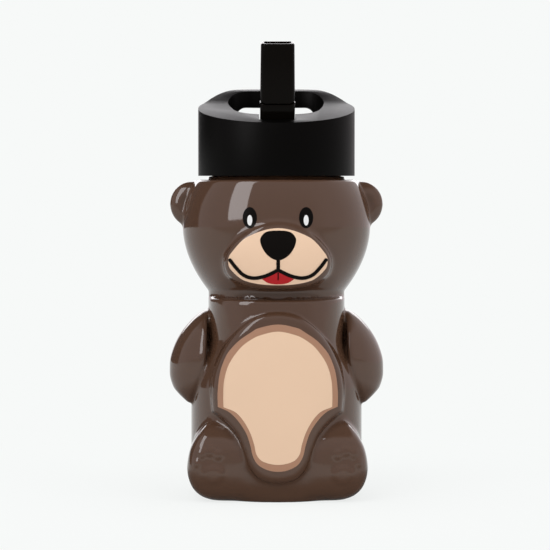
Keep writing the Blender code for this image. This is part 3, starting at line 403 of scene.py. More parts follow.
def radius_table(knots, centre_z, corner=None):
    """An outline as its radius by angle round a centre, for outline_distance."""
    points = mirrored_curve(knots, corner, 24)
    angles = np.arctan2(points[:, 1] - centre_z, points[:, 0])
    order = np.argsort(angles)
    radii = np.hypot(points[:, 0], points[:, 1] - centre_z)[order]
    even = np.linspace(-math.pi, math.pi, 4 * 360 + 1)
    radii = np.interp(even, angles[order], radii, period=math.tau)
    return centre_z, even, radii, np.gradient(radii, even)


def smooth_rows(rows, steps=300):
    """Rows of sizes by height, as columns of values along a smooth curve."""
    rows = np.array(rows, float)
    z = rows[:, 0]
    fine = np.linspace(z[0], z[-1], steps)
    slopes = np.gradient(rows, z, axis=0)
    i = np.clip(np.searchsorted(z, fine) - 1, 0, len(z) - 2)
    span = (z[i + 1] - z[i])[:, None]
    t = (fine - z[i])[:, None] / span
    values = curve_point(t, rows[i], rows[i + 1], span * slopes[i], span * slopes[i + 1])
    values[:, 0] = fine
    return values.T


# The bear's form, as distances in millimetres that are negative inside

def smooth_min(a, b, radius):
    """Lesser of two distances, with a fillet where the two forms meet."""
    blend = np.maximum(radius - np.abs(a - b), 0.0) / radius
    return np.minimum(a, b) - blend * blend * radius / 4.0


def smooth_max(a, b, radius):
    return -smooth_min(-a, -b, radius)


def oval_distance(x, y, half_width, half_depth, power):
    """Distance past an oval, along the line from its centre."""
    reach = np.hypot(x, y) + 1e-6
    share = (np.abs(x) / half_width) ** power + (np.abs(y) / half_depth) ** power
    return reach - reach / np.maximum(share, 1e-9) ** (1.0 / power)


def ellipsoid_distance(x, y, z, centre, radii):
    offsets = (x - centre[0], y - centre[1], z - centre[2])
    reach = np.sqrt(sum(offset ** 2 for offset in offsets)) + 1e-6
    share = np.sqrt(sum((offset / radius) ** 2 for offset, radius in zip(offsets, radii)))
    return reach - reach / np.maximum(share, 1e-6)


def outline_distance(x, z, table):
    centre_z, angles, radii, slopes = table
    angle = np.arctan2(z - centre_z, x)
    radius = np.interp(angle, angles, radii)
    slope = np.interp(angle, angles, slopes)
    return (np.hypot(x, z - centre_z) - radius) / np.sqrt(1.0 + (slope / radius) ** 2)


def ease(share):
    """Share from 0 to 1 that starts and ends gently."""
    share = np.clip(share, 0.0, 1.0)
    return share * share * (3.0 - 2.0 * share)


def quarter_round(share):
    """Inset of a rounded edge, from 1 at its end to 0 where the round starts."""
    return 1.0 - np.sqrt(1.0 - np.clip(share, 0.0, 1.0) ** 2)


def trunk_table():
    """Heights with the trunk's half width, half depth and squareness."""
    z = np.arange(0.0, SHOULDER_Z + TABLE_STEP, TABLE_STEP)
    rise = np.clip((z - TAPER_START_Z) / (CREASE_Z - TAPER_START_Z), 0.0, 1.0)
    full = 1.0 - rise ** 2
    wide = 1.0 - ease((z - WAIST_Z[0]) / (WAIST_Z[1] - WAIST_Z[0]))
    tuck = quarter_round(1.0 - z / HEEL_HEIGHT)
    round_off = quarter_round(1.0 - (CREASE_Z - z) / CHEST_EDGE_HEIGHT)
    climb = np.clip((z - CREASE_Z) / (CHEEK_Z - CREASE_Z), 0.0, 1.0)
    swell = 1.0 - (1.0 - climb) ** 2
    shrink = np.clip((z - CHEEK_Z) / (SHOULDER_Z - CHEEK_Z), 0.0, 1.0) ** CROWN_POWER
    columns = [z]
    for torso, share, inset, crease, edge, cheek in zip(
            TORSO_HALF, (wide, full), HEEL_INSET, CREASE_HALF, CHEST_EDGE, CHEEK_HALF):
        chest = crease + edge
        low = chest + (torso - chest) * share - inset * tuck - edge * round_off
        high = crease + (cheek - crease) * swell + (SHOULDER_RADIUS - cheek) * shrink
        columns.append(np.where(z <= CREASE_Z, low, high))
    torso_power = CHEST_POWER + (TORSO_POWER - CHEST_POWER) * wide
    return columns + [np.where(z <= CREASE_Z, torso_power, HEAD_POWER)]


TRUNK = trunk_table()
ARM = smooth_rows(ARM_ROWS)
LEG = smooth_rows(LEG_ROWS)
MUZZLE_EDGE = radius_table(MUZZLE_KNOTS, MUZZLE_CENTRE[2])
TUMMY_EDGE = radius_table(TUMMY_KNOTS, TUMMY_CENTRE_Z, TUMMY_CORNER)


def at_height(table, z):
    return (np.interp(z, table[0], column) for column in table[1:])


def trunk_distance(x, y, z):
    return oval_distance(x, y, *at_height(TRUNK, z))


def arm_distance(side, y, z):
    inner, outer, centre_y, half_depth = at_height(ARM, z)
    across = side - inner - ARM_MIDDLE * (outer - inner)
    back = y - centre_y - ARM_SLANT * across
    half_width = (1.0 - ARM_MIDDLE) * (outer - inner)
    around = oval_distance(across, back, half_width, half_depth, ARM_POWER)
    around = smooth_max(around, inner - side, ARM_INNER_ROUND)
    return smooth_max(around, np.maximum(ARM[0][0] - z, z - ARM[0][-1]), LIMB_END_ROUND)


def leg_distance(side, y, z):
    side_reach, width, front_reach, half_depth = at_height(LEG, z)
    centre_x = TORSO_HALF[0] + side_reach - width / 2.0
    centre_y = -(TORSO_HALF[1] + front_reach) + half_depth
    around = oval_distance(side - centre_x, y - centre_y, width / 2.0, half_depth, LEG_POWER)
    return smooth_max(around, z - LEG[0][-1], LIMB_END_ROUND)


def ear_distance(side, y, z):
    centre_x = np.interp(EAR_Z, TRUNK[0], TRUNK[1]) - EAR_SUNK
    radii = (EAR_RADIUS, EAR_HALF_THICKNESS, EAR_HALF_HEIGHT)
    lobe = ellipsoid_distance(side, y, z, (centre_x, EAR_Y, EAR_Z), radii)
    front = EAR_Y - EAR_HALF_THICKNESS - DISH_DEPTH
    dish = ellipsoid_distance(
        side, y, z, (centre_x + DISH_SHIFT * EAR_RADIUS, front, EAR_Z),
        (DISH_RADIUS, 2.0 * DISH_DEPTH, DISH_RADIUS))
    return smooth_max(lobe, -dish, DISH_ROUND)


def pad_height(side, y, z):
    """Rise of the pads on the soles."""
    height = np.zeros_like(side)
    for centre_x, centre_z, half_width, half_height, rise in PADS:
        share = np.hypot((side - centre_x) / half_width, (z - centre_z) / half_height)
        height = np.maximum(height, rise * ease((PAD_EDGE - share) / (PAD_EDGE - PAD_TOP)))
    return height * (y < SOLE_Y)


def bear_distance(x, y, z):
    side = np.abs(x)
    trunk = trunk_distance(x, y, z)
    form = smooth_min(trunk, leg_distance(side, y, z) - pad_height(side, y, z), LEG_FILLET)
    form = smooth_min(form, arm_distance(side, y, z), ARM_FILLET)
    form = smooth_min(form, ear_distance(side, y, z), EAR_FILLET)
    dome = ellipsoid_distance(x, y, z, MUZZLE_CENTRE, MUZZLE_DOME)
    muzzle = smooth_max(dome, outline_distance(x, z, MUZZLE_EDGE), MUZZLE_ROUND)
    form = smooth_min(form, muzzle, MUZZLE_FILLET)
    tummy = smooth_max(trunk - TUMMY_RISE, outline_distance(x, z, TUMMY_EDGE), TUMMY_ROUND)
    form = smooth_min(form, np.maximum(tummy, y - TUMMY_BACK_Y), TUMMY_FILLET)
    form = smooth_max(form, z - SHOULDER_Z, SHOULDER_ROUND)
    radius = np.hypot(x, y)
    neck = smooth_max(radius - NECK_RADIUS, z - NECK_TOP_Z, NECK_ROUND)
    bead = smooth_max(radius - BEAD_RADIUS, z - BEAD_TOP_Z, BEAD_ROUND)
    form = smooth_min(form, smooth_min(neck, bead, BEAD_FILLET), NECK_FILLET)
    return smooth_max(form, -z, BASE_ROUND)


def cavity_distance(x, y, z):
    """The hollow: the form moved in by the wall, open through the neck."""
    hollow = np.maximum(bear_distance(x, y, z) + WALL, z - SHOULDER_Z + WALL)
    bore = np.maximum(np.hypot(x, y) - NECK_BORE, z - NECK_TOP_Z - 3.0)
    return np.minimum(hollow, np.maximum(bore, SHOULDER_Z - 2.0 * WALL - z))


# Mesh making

def new_object(name, data):
    item = bpy.data.objects.new(name, data)
    bpy.context.scene.collection.objects.link(item)
    return item


def mesh_object(name, points, faces):
    """New object from points in millimetres."""
    mesh = bpy.data.meshes.new(name)
    mesh.from_pydata([tuple(point) for point in np.asarray(points) * MM], [], faces)
    return new_object(name, mesh)


def outward(item):
    """Turn a closed mesh's faces outwards."""
    bm = bmesh.new()
    bm.from_mesh(item.data)
    bmesh.ops.recalc_face_normals(bm, faces=bm.faces)
    if bm.calc_volume(signed=True) < 0.0:
        bmesh.ops.reverse_faces(bm, faces=bm.faces)
    bm.to_mesh(item.data)
    bm.free()
    return item


def smooth(item, angle):
    """Smooth shading, with edges kept where faces turn by more than an angle."""
    item.data.shade_smooth()
    item.data.set_sharp_from_angle(angle=math.radians(angle))
    return item


def settle(item):
    """Apply an object's modifiers and place to its mesh."""
    bpy.context.view_layer.update()
    evaluated = item.evaluated_get(bpy.context.evaluated_depsgraph_get())
    mesh = bpy.data.meshes.new_from_object(evaluated)
    mesh.transform(item.matrix_world)
    item.modifiers.clear()
    item.data = mesh
    item.matrix_world = Matrix.Identity(4)
    mesh.name = item.name
    return item


def carve(item, other, operation="DIFFERENCE"):
    """Join, cut or keep the common part of two closed objects, and drop the second."""
    modifier = item.modifiers.new(operation.lower(), "BOOLEAN")
    modifier.operation = operation
    modifier.solver = "EXACT"
    modifier.object = other
    settle(item)
    bpy.data.objects.remove(other)
    return item


def circle(count):
    """Cosine and sine of even steps round a circle."""
    return [(math.cos(math.tau * i / count), math.sin(math.tau * i / count))
            for i in range(count)]


def ring_loft(name, rings, closed=False):
    """Body through rings of equal point counts, with flat ends unless it closes on itself."""
    count = len(rings[0])
    faces = []
    last = len(rings) if closed else len(rings) - 1
    for r in range(last):
        low = r * count
        high = (r + 1) % len(rings) * count
        for i in range(count):
            j = (i + 1) % count
            faces.append((low + i, low + j, high + j, high + i))
    if not closed:
        faces.append(tuple(range(count))[::-1])
        faces.append(tuple(range((len(rings) - 1) * count, len(rings) * count)))
    points = [point for ring in rings for point in ring]
    return outward(mesh_object(name, points, faces))


def cylinder(name, radius, start, end, segments):
    """Closed cylinder between two points."""
    start = Vector(start)
    end = Vector(end)
    turn = (end - start).to_track_quat("Z", "Y").to_matrix()
    return ring_loft(name, [[foot + turn @ Vector((c, s, 0.0)) * radius
                             for c, s in circle(segments)] for foot in (start, end)])


def prism(name, outline, axis, low, high):
    """Solid of a flat outline, drawn out along X, Y or Z between two levels."""
    at = "XYZ".index(axis)
    return ring_loft(name, [[(*point[:at], level, *point[at:]) for point in outline]
                            for level in (low, high)])


def box(name, low, high):
    corners = ((low[0], low[1]), (high[0], low[1]), (high[0], high[1]), (low[0], high[1]))
    return prism(name, corners, "Z", low[2], high[2])


def rounded_rectangle(half_width, half_depth, radius, steps=8):
    points = []
    for quarter, (sign_x, sign_y) in enumerate(((1, 1), (-1, 1), (-1, -1), (1, -1))):
        for step in range(steps + 1):
            angle = math.radians(90.0) * (quarter + step / steps)
            points.append((sign_x * (half_width - radius) + radius * math.cos(angle),
                           sign_y * (half_depth - radius) + radius * math.sin(angle)))
    return points


# Bear

def onto_form(points, form, rounds=4):
    """Points moved along the slope of a form until they lie on its surface."""
    for _ in range(rounds):
        here = form(*points.T)
        slope = np.empty_like(points)
        for axis in range(3):
            nudged = points.copy()
            nudged[:, axis] += NUDGE
            slope[:, axis] = (form(*nudged.T) - here) / NUDGE
        length = np.maximum((slope ** 2).sum(1), LEAST_SLOPE)
        step = np.clip(here / length, -LONGEST_STEP, LONGEST_STEP)
        points = points - slope * step[:, None]
    return points


def relax(points, edges, share=0.5):
    """Even out points by moving each towards the middle of its neighbours."""
    total = np.zeros_like(points)
    for axis in range(3):
        total[:, axis] = (
            np.bincount(edges[:, 0], points[edges[:, 1], axis], len(points))
            + np.bincount(edges[:, 1], points[edges[:, 0], axis], len(points)))
    count = np.bincount(edges.ravel(), minlength=len(points))[:, None]
    return points + share * (total / np.maximum(count, 1) - points)


def form_mesh(name, form, cell):
    """Closed mesh of a form that is the same left and right, with cells of about one size."""
    half = [np.arange(cell / 2.0, GRID_HIGH[0], cell)]
    half += [np.arange(GRID_LOW[axis], GRID_HIGH[axis], cell) for axis in (1, 2)]
    values = form(*np.meshgrid(*half, indexing="ij"))
    values = np.concatenate((values[::-1], values))
    origin = np.array((-half[0][-1], half[1][0], half[2][0]))
    inside = values < 0.0
    total = np.zeros((*(size - 1 for size in values.shape), 3))
    count = np.zeros(total.shape[:3])
    quads = []
    for axis in range(3):
        start = [slice(None)] * 3
        end = [slice(None)] * 3
        start[axis] = slice(None, -1)
        end[axis] = slice(1, None)
        start, end = tuple(start), tuple(end)
        crossed = np.argwhere(inside[start] != inside[end])
        near = values[start][tuple(crossed.T)]
        far = values[end][tuple(crossed.T)]
        point = crossed.astype(float)
        point[:, axis] += near / (near - far)
        first, second = [other for other in range(3) if other != axis]
        corners = []
        for shift in ((0, 0), (1, 0), (1, 1), (0, 1)):
            cells = crossed.copy()
            cells[:, first] -= shift[0]
            cells[:, second] -= shift[1]
            np.add.at(total, tuple(cells.T), point)
            np.add.at(count, tuple(cells.T), 1.0)
            corners.append(np.ravel_multi_index(tuple(cells.T), count.shape))
        quads.append(np.stack(corners, axis=1))
    used = np.flatnonzero(count.ravel())
    place = np.zeros(count.size, np.int64)
    place[used] = np.arange(len(used))
    quads = place[np.concatenate(quads)]
    points = origin + cell * (total.reshape(-1, 3)[used] / count.ravel()[used][:, None])
    edges = np.concatenate([quads[:, pair] for pair in ((0, 1), (1, 2), (2, 3), (3, 0))])
    for _ in range(3):
        points = onto_form(relax(points, edges), form, 2)
    return outward(mesh_object(name, onto_form(points, form), quads.tolist()))


def bear_shell():
    """Hollow bear with its neck finish."""
    shell = form_mesh("bear_shell", bear_distance, SKIN_CELL)
    carve(shell, form_mesh("cavity", cavity_distance, CAVITY_CELL))
    return smooth(shell, 50.0)


def helix(name, root, tip, start_z):
    """Thread ridge round the axis, fading out at both ends."""
    steps = int(72 * THREAD_TURNS)
    rings = []
    for step in range(steps + 1):
        share = step / steps
        angle = math.tau * THREAD_TURNS * share
        fade = math.sin(math.pi * min(1.0, THREAD_FADE * min(share, 1.0 - share)) / 2.0)
        crest = root + (tip - root) * max(fade, THREAD_LEAST)
        z = start_z + THREAD_PITCH * THREAD_TURNS * share
        rings.append([(radius * math.cos(angle), radius * math.sin(angle), z + lift)
                      for radius, lift in ((root, -THREAD_ROOT), (crest, -THREAD_CREST),
                                           (crest, THREAD_CREST), (root, THREAD_ROOT))])
    return smooth(ring_loft(name, rings), 30.0)


# Prints

def surface_y(x, z, level):
    """Front of the bear at one distance from the form's surface."""
    near, far = (np.full(x.shape, y) for y in FRONT_Y)
    for _ in range(HALVINGS):
        middle = (near + far) / 2.0
        outside = bear_distance(x, middle, z) > level
        near = np.where(outside, middle, near)
        far = np.where(outside, far, middle)
    return near


def print_film(name, outline, level, spacing):
    """Film of ink inside an outline of (x, z) points, laid on the bear."""
    outline = np.array(outline)
    low = outline.min(0)
    high = outline.max(0)
    points = [Vector(point) for point in outline]
    for x in np.arange(low[0], high[0], spacing):
        for z in np.arange(low[1], high[1], spacing):
            points.append(Vector((x + GRID_SHIFT[0], z + GRID_SHIFT[1])))
    edges = [(i, (i + 1) % len(outline)) for i in range(len(outline))]
    flat, _, triangles, _, _, _ = delaunay_2d_cdt(points, edges, [], 0, 0.0001)
    flat = np.array([tuple(point) for point in flat])
    kept = [triangle for triangle in triangles if within(flat[list(triangle)].mean(0), outline)]
    used = sorted({i for triangle in kept for i in triangle})
    place = {old: new for new, old in enumerate(used)}
    flat = flat[used]
    kept = [tuple(place[i] for i in triangle) for triangle in kept]
    count = len(flat)
    layers = []
    for lift in (level, level - INK - INK_SUNK):
        y = surface_y(flat[:, 0], flat[:, 1], lift)
        layers.append(np.column_stack((flat[:, 0], y, flat[:, 1])))
    pairs = dict.fromkeys((triangle[i], triangle[(i + 1) % 3])
                          for triangle in kept for i in range(3))
    solid = kept + [tuple(i + count for i in triangle[::-1]) for triangle in kept]
    solid += [(b, a, a + count, b + count) for a, b in pairs if (b, a) not in pairs]
    return smooth(outward(mesh_object(name, np.vstack(layers), solid)), 60.0)


def within(point, loop):
    """Whether a point lies inside a closed loop."""
    after = np.roll(loop, -1, axis=0)
    crosses = (loop[:, 1] > point[1]) != (after[:, 1] > point[1])
    height = np.where(crosses, after[:, 1] - loop[:, 1], 1.0)
    at = loop[:, 0] + (point[1] - loop[:, 1]) * (after[:, 0] - loop[:, 0]) / height
    return bool((crosses & (point[0] < at)).sum() % 2)


def oval(centre_x, centre_z, half):
    return [(centre_x + half[0] * c, centre_z + half[1] * s) for c, s in circle(40)]


def stroke(path, width):
    """Closed outline of an even line along a path, with rounded ends."""
    path = np.asarray(path, float)
    along = np.gradient(path, axis=0)
    along /= np.linalg.norm(along, axis=1)[:, None]
    across = np.column_stack((-along[:, 1], along[:, 0])) * width / 2.0
    outline = list(path + across)
    for end, sign in ((-1, 1.0), (0, -1.0)):
        for step in range(1, 8):
            angle = math.pi * step / 8.0
            outline.append(path[end] + sign * (
                across[end] * math.cos(angle) + along[end] * math.sin(angle) * width / 2.0))
        if end == -1:
            outline += list((path - across)[::-1])
    return outline


def prints():
    """Ink films: name, outline, layer, spacing, the CAD node it stands for, and its slot."""
    rows = []
    for side, word in ((-1, "left"), (1, "right")):
        x, z = side * EYE_CENTRE[0], EYE_CENTRE[1]
        rows += [
            (f"eye_ink_{word}", oval(x, z, EYE_HALF), 1, INK_GRID, f"eye_print_{word}",
             "black_ink"),
            (f"glint_ink_{word}", oval(x, z - GLINT_DROP, GLINT_HALF), 2, FINEST_GRID,
             f"eye_glint_{word}", "white_ink"),
        ]
    smile = open_curve(SMILE_KNOTS)
    smile = np.vstack((smile[:0:-1] * (-1, 1), smile))
    return rows + [
        ("muzzle_ink", mirrored_curve(PATCH_KNOTS), 1, INK_GRID, "muzzle_print", "peach_ink"),
        ("nose_ink", mirrored_curve(NOSE_KNOTS), 2, INK_GRID, "nose_print", "black_ink"),
        ("mouth_ink", stroke(smile, MOUTH_WIDTH), 3, FINE_GRID, "mouth_print", "black_ink"),
        ("mouth_stem_ink", stroke(STEM_PATH, MOUTH_WIDTH), 3, FINE_GRID, None, "black_ink"),
        ("tongue_ink", mirrored_curve(TONGUE_KNOTS, TONGUE_TIP), 2, FINE_GRID, "tongue_print",
         "red_ink"),
        ("tongue_line_ink", stroke(TONGUE_LINE, TONGUE_LINE_WIDTH), 3, FINEST_GRID, None,
         "black_ink"),
        ("belly_border_ink", mirrored_curve(BORDER_KNOTS, BORDER_CORNER), 1, INK_GRID,
         "belly_print_border", "brown_ink"),
        ("belly_panel_ink", mirrored_curve(PANEL_KNOTS, PANEL_CORNER), 2, INK_GRID,
         "belly_print_panel", "belly_peach_ink"),
    ]


# Lid

def deck_height(y):
    """Height of the lid's top above its bottom edge: a slope that levels off on the loop."""
    rise = REAR_RISE * ease((y - REAR_RISE_Y[0]) / (REAR_RISE_Y[1] - REAR_RISE_Y[0]))
    slope = DECK_FRONT_HEIGHT + DECK_SLOPE * (y + LID_RADIUS) + rise
    return smooth_min(slope, LOOP_TOP_HEIGHT, LOOP_TOP_BLEND)


def below_deck(name, drop):
    """Everything under the sloping deck, lowered by a drop."""
    y = np.concatenate(((-LID_RADIUS - 2.0,), np.linspace(REAR_RISE_Y[0], LID_RADIUS, 25),
                        (LID_RADIUS + 2.0,)))
    outline = list(zip(y, LID_BOTTOM_Z + deck_height(y) - drop))
    outline += [(y[-1], LID_BOTTOM_Z - 5.0), (y[0], LID_BOTTOM_Z - 5.0)]
    return prism(name, outline, "X", -PAST, PAST)


def well_outline(grow):
    """Edge of the finger well seen from above, grown by a wall."""
    points = mirrored_curve(WELL_KNOTS, steps=6)
    along = np.roll(points, -1, axis=0) - np.roll(points, 1, axis=0)
    along /= np.linalg.norm(along, axis=1)[:, None]
    outwards = np.column_stack((-along[:, 1], along[:, 0]))
    return points + grow * outwards


def lid_cover():
    """Outer lid: sloping deck, finger well, spout pocket and the carry loop behind it."""
    top = LID_BOTTOM_Z + PAST
    lid = cylinder("lid_cover", LID_RADIUS, (0, 0, LID_BOTTOM_Z), (0, 0, top), LID_SEGMENTS)
    carve(lid, below_deck("deck_top", 0.0), "INTERSECT")
    carve(lid, prism("well", well_outline(0.0), "Z", FLOOR_TOP_Z, top))
    carve(lid, box("pocket", (-POCKET_HALF_WIDTH, POCKET_FRONT_Y, FLOOR_BOTTOM_Z - RUN_GAP),
                   (POCKET_HALF_WIDTH, POCKET_REAR_Y, top)))
    window = rounded_rectangle(WINDOW_HALF_WIDTH, WINDOW_HALF_HEIGHT, WINDOW_CORNER)
    drop = LID_BOTTOM_Z + WINDOW_TOP - WINDOW_HALF_HEIGHT
    outline = [(x, max(z + drop, FLOOR_TOP_Z)) for x, z in window]
    outline = [point for i, point in enumerate(outline) if point != outline[i - 1]]
    carve(lid, prism("window", outline, "Y", CAVITY_REAR_Y, LID_RADIUS + OVERRUN))
    bevel = lid.modifiers.new("edges", "BEVEL")
    bevel.width = LID_EDGE * MM
    bevel.segments = 3
    bevel.limit_method = "ANGLE"
    bevel.angle_limit = math.radians(40.0)
    settle(lid)
    radius = TRUNNION_RADIUS + RUN_GAP
    outline = [(SPOUT_Y - radius * c, PIVOT_Z + radius * s)
               for c, s in circle(SLOT_SEGMENTS)[:SLOT_SEGMENTS // 2 + 1]]
    outline.insert(0, (SPOUT_Y - radius, FLOOR_BOTTOM_Z - OVERLAP))
    outline.append((SPOUT_Y + radius, FLOOR_BOTTOM_Z - OVERLAP))
    for side in (-1, 1):
        reach = (side * (POCKET_HALF_WIDTH - OVERLAP), side * (POCKET_HALF_WIDTH + SLOT_REACH))
        carve(lid, prism("slot", outline, "X", min(reach), max(reach)))
    carve(lid, cylinder("recess", LID_INNER_RADIUS, (0, 0, LID_BOTTOM_Z - OVERRUN),
                        (0, 0, FLOOR_BOTTOM_Z), LID_SEGMENTS))
    hollow = cylinder("hollow", LID_INNER_RADIUS, (0, 0, FLOOR_BOTTOM_Z - OVERLAP), (0, 0, top),
                      LID_SEGMENTS)
    carve(hollow, below_deck("underside", LID_WALL), "INTERSECT")
    carve(hollow, prism("well_wall", well_outline(WELL_WALL), "Z", 0.0, top + PAST))
    block = POCKET_HALF_WIDTH + SLOT_REACH + POCKET_WALL
    carve(hollow, box("block", (-block, -PAST, 0.0), (block, PAST, top + PAST)))
    carve(hollow, box("rear", (-PAST, CAVITY_REAR_Y, 0.0), (PAST, PAST, top + PAST)))
    carve(lid, hollow)
    return smooth(lid, 30.0)


# Spout

def spout_frame():
    """Frame on the hinge axis: X across, Z along the leaning spout."""
    return (Matrix.Translation((0.0, SPOUT_Y * MM, PIVOT_Z * MM))
            @ Matrix.Rotation(SPOUT_LEAN, 4, "X"))


def spout_rings(stations, radius):
    """Rounded-rectangle rings from rows of (distance, half width, half depth)."""
    rings = []
    for distance, half_width, half_depth in stations:
        corner = min(radius, 0.95 * half_width, 0.95 * half_depth)
        rings.append([(across, along, distance)
                      for across, along in rounded_rectangle(half_width, half_depth, corner)])
    return rings


def bent(rings):
    """Rings of the mouthpiece's foot, whose sides stand higher than its middle."""
    return [[(x, y, z + FOOT_CURVE * (x / DRUM_HALF_WIDTH) ** 2) for x, y, z in ring]
            for ring in rings]


def round_end(distance, half, edge, sign, steps=4):
    """Stations that round an end off, from its side to its face."""
    rows = []
    for step in range(steps + 1):
        angle = math.radians(90.0) * step / steps
        inset = edge * (1.0 - math.cos(angle))
        rows.append((distance - sign * edge * (1.0 - math.sin(angle)),
                     half[0] - inset, half[1] - inset))
    return rows


def mouthpiece_sleeve():
    """Tapered mouthpiece, open at both ends, with rounded rims."""
    foot = (DRUM_HALF_WIDTH, BASE_HALF_DEPTH)
    outer = round_end(MOUTHPIECE_START, foot, FOOT_ROUND, -1.0)[::-1]
    top = round_end(MOUTHPIECE_END, TIP_HALF, TIP_ROUND, 1.0)
    bore_foot, bore_tip = ([half - MOUTHPIECE_WALL for half in end] for end in (foot, TIP_HALF))
    inner = [(MOUTHPIECE_END, bore_tip[0] + LIP, bore_tip[1] + LIP),
             (MOUTHPIECE_END - LIP, *bore_tip)]
    rings = bent(spout_rings(outer, SPOUT_CORNER)) + spout_rings(top, SPOUT_CORNER)
    rings += spout_rings(inner, BORE_CORNER)
    rings += bent(spout_rings([(MOUTHPIECE_START, *bore_foot)], BORE_CORNER))
    sleeve = ring_loft("mouthpiece_sleeve", rings, closed=True)
    sleeve.matrix_world = spout_frame()
    return smooth(settle(sleeve), 40.0)


def spout_drum():
    """Drum with trunnions, the flanged base and the stub inside the mouthpiece."""
    rings = []
    for x, inset in (*((-x, inset) for x, inset in DRUM_RIM), *DRUM_RIM[::-1]):
        rings.append([(x * DRUM_HALF_WIDTH, (DRUM_RADIUS - inset) * c, (DRUM_RADIUS - inset) * s)
                      for c, s in circle(64)])
    drum = ring_loft("spout_drum", rings)
    base = [(0.0, DRUM_HALF_WIDTH, 0.95 * DRUM_RADIUS),
            (3.0, DRUM_HALF_WIDTH, DRUM_RADIUS),
            (6.5, DRUM_HALF_WIDTH, 0.97 * BASE_HALF_DEPTH)]
    flange_half = (DRUM_HALF_WIDTH + FLANGE_REACH, BASE_HALF_DEPTH + FLANGE_REACH)
    flange = round_end(FLANGE, flange_half, FLANGE_ROUND, 1.0)
    rings = spout_rings(base, SPOUT_CORNER) + bent(spout_rings(flange, SPOUT_CORNER))
    carve(drum, ring_loft("base", rings), "UNION")
    inset = MOUTHPIECE_WALL + RUN_GAP
    stub = [(distance, DRUM_HALF_WIDTH - inset, BASE_HALF_DEPTH - inset)
            for distance in (STUB_START, STUB_END)]
    carve(drum, ring_loft("stub", spout_rings(stub, STUB_CORNER)), "UNION")
    carve(drum, cylinder("pins", TRUNNION_RADIUS, (-TRUNNION_REACH, 0, 0),
                         (TRUNNION_REACH, 0, 0), 32), "UNION")
    carve(drum, cylinder("channel", SPOUT_BORE, (0, 0, -OVERRUN), (0, 0, STUB_END + OVERLAP), 32))
    drum.matrix_world = spout_frame()
    return smooth(settle(drum), 35.0)


# Materials

def node(tree, kind, **settings):
    made = tree.nodes.new(kind)
    for name, value in settings.items():
        setattr(made, name, value)
    return made


def fed(tree, kind, *sources, **settings):
    """First output of a new node whose inputs take these values and sockets in order."""
    made = node(tree, kind, **settings)
    for socket, source in zip(made.inputs, sources):
        if isinstance(source, (float, tuple)):
            socket.default_value = source
        else:
            tree.links.new(source, socket)
    return made.outputs[0]


def change(tree, source, start, end, low, high):
    """Value that eases from low to high while its source goes from start to end."""
    return fed(tree, "ShaderNodeMapRange", source, start, end, low, high,
               interpolation_type="SMOOTHSTEP")


def new_group(name, inputs, outputs):
    group = bpy.data.node_groups.new(name, "ShaderNodeTree")
    for title, kind, default in inputs:
        made = group.interface.new_socket(name=title, in_out="INPUT", socket_type=kind)
        made.default_value = default
    for title, kind in outputs:
        group.interface.new_socket(name=title, in_out="OUTPUT", socket_type=kind)
    return group, node(group, "NodeGroupInput"), node(group, "NodeGroupOutput")


def noise(group, scale, detail):
    """Noise over an object's own place, at a scale that a socket gives."""
    made = node(group, "ShaderNodeTexNoise")
    made.inputs["Detail"].default_value = detail
    place = node(group, "ShaderNodeTexCoord")
    group.links.new(place.outputs["Object"], made.inputs["Vector"])
    group.links.new(scale, made.inputs["Scale"])
    return made.outputs["Fac"]


def colour_drift():
    """Slight change of shade over a moulded or printed surface."""
    group, given, out = new_group(
        "colour_drift",
        (("Colour", "NodeSocketColor", (0.5, 0.5, 0.5, 1.0)),
         ("Amount", "NodeSocketFloat", 0.05), ("Scale", "NodeSocketFloat", 40.0)),
        (("Colour", "NodeSocketColor"),))
    link = group.links.new
    patches = noise(group, given.outputs["Scale"], 3.0)
    centred = fed(group, "ShaderNodeMath", patches, 0.5, operation="SUBTRACT")
    scaled = fed(group, "ShaderNodeMath", centred, given.outputs["Amount"], 1.0,
                 operation="MULTIPLY_ADD")
    shade = node(group, "ShaderNodeVectorMath", operation="SCALE")
    link(given.outputs["Colour"], shade.inputs[0])
    link(scaled, shade.inputs["Scale"])
    link(shade.outputs[0], out.inputs["Colour"])
    return group


def surface_grain():
    """Height of a moulded surface's waviness and of its fine texture, and its dullness."""
    group, given, out = new_group(
        "surface_grain",
        (("Wave Scale", "NodeSocketFloat", 60.0), ("Grain Scale", "NodeSocketFloat", 3000.0),
         ("Grain", "NodeSocketFloat", 0.3), ("Roughness", "NodeSocketFloat", 0.3),
         ("Roughness Spread", "NodeSocketFloat", 0.05)),
        (("Height", "NodeSocketFloat"), ("Roughness", "NodeSocketFloat")))
    link = group.links.new
    waves, grain = (noise(group, given.outputs[scale], 2.0)
                    for scale in ("Wave Scale", "Grain Scale"))
    both = fed(group, "ShaderNodeMix", given.outputs["Grain"], data_type="FLOAT").node
    link(waves, both.inputs["A"])
    link(grain, both.inputs["B"])
    link(both.outputs["Result"], out.inputs["Height"])
    spread = fed(group, "ShaderNodeMath", waves, given.outputs["Roughness Spread"],
                 given.outputs["Roughness"], operation="MULTIPLY_ADD")
    link(spread, out.inputs["Roughness"])
    return group


DRIFT = colour_drift()
GRAIN = surface_grain()


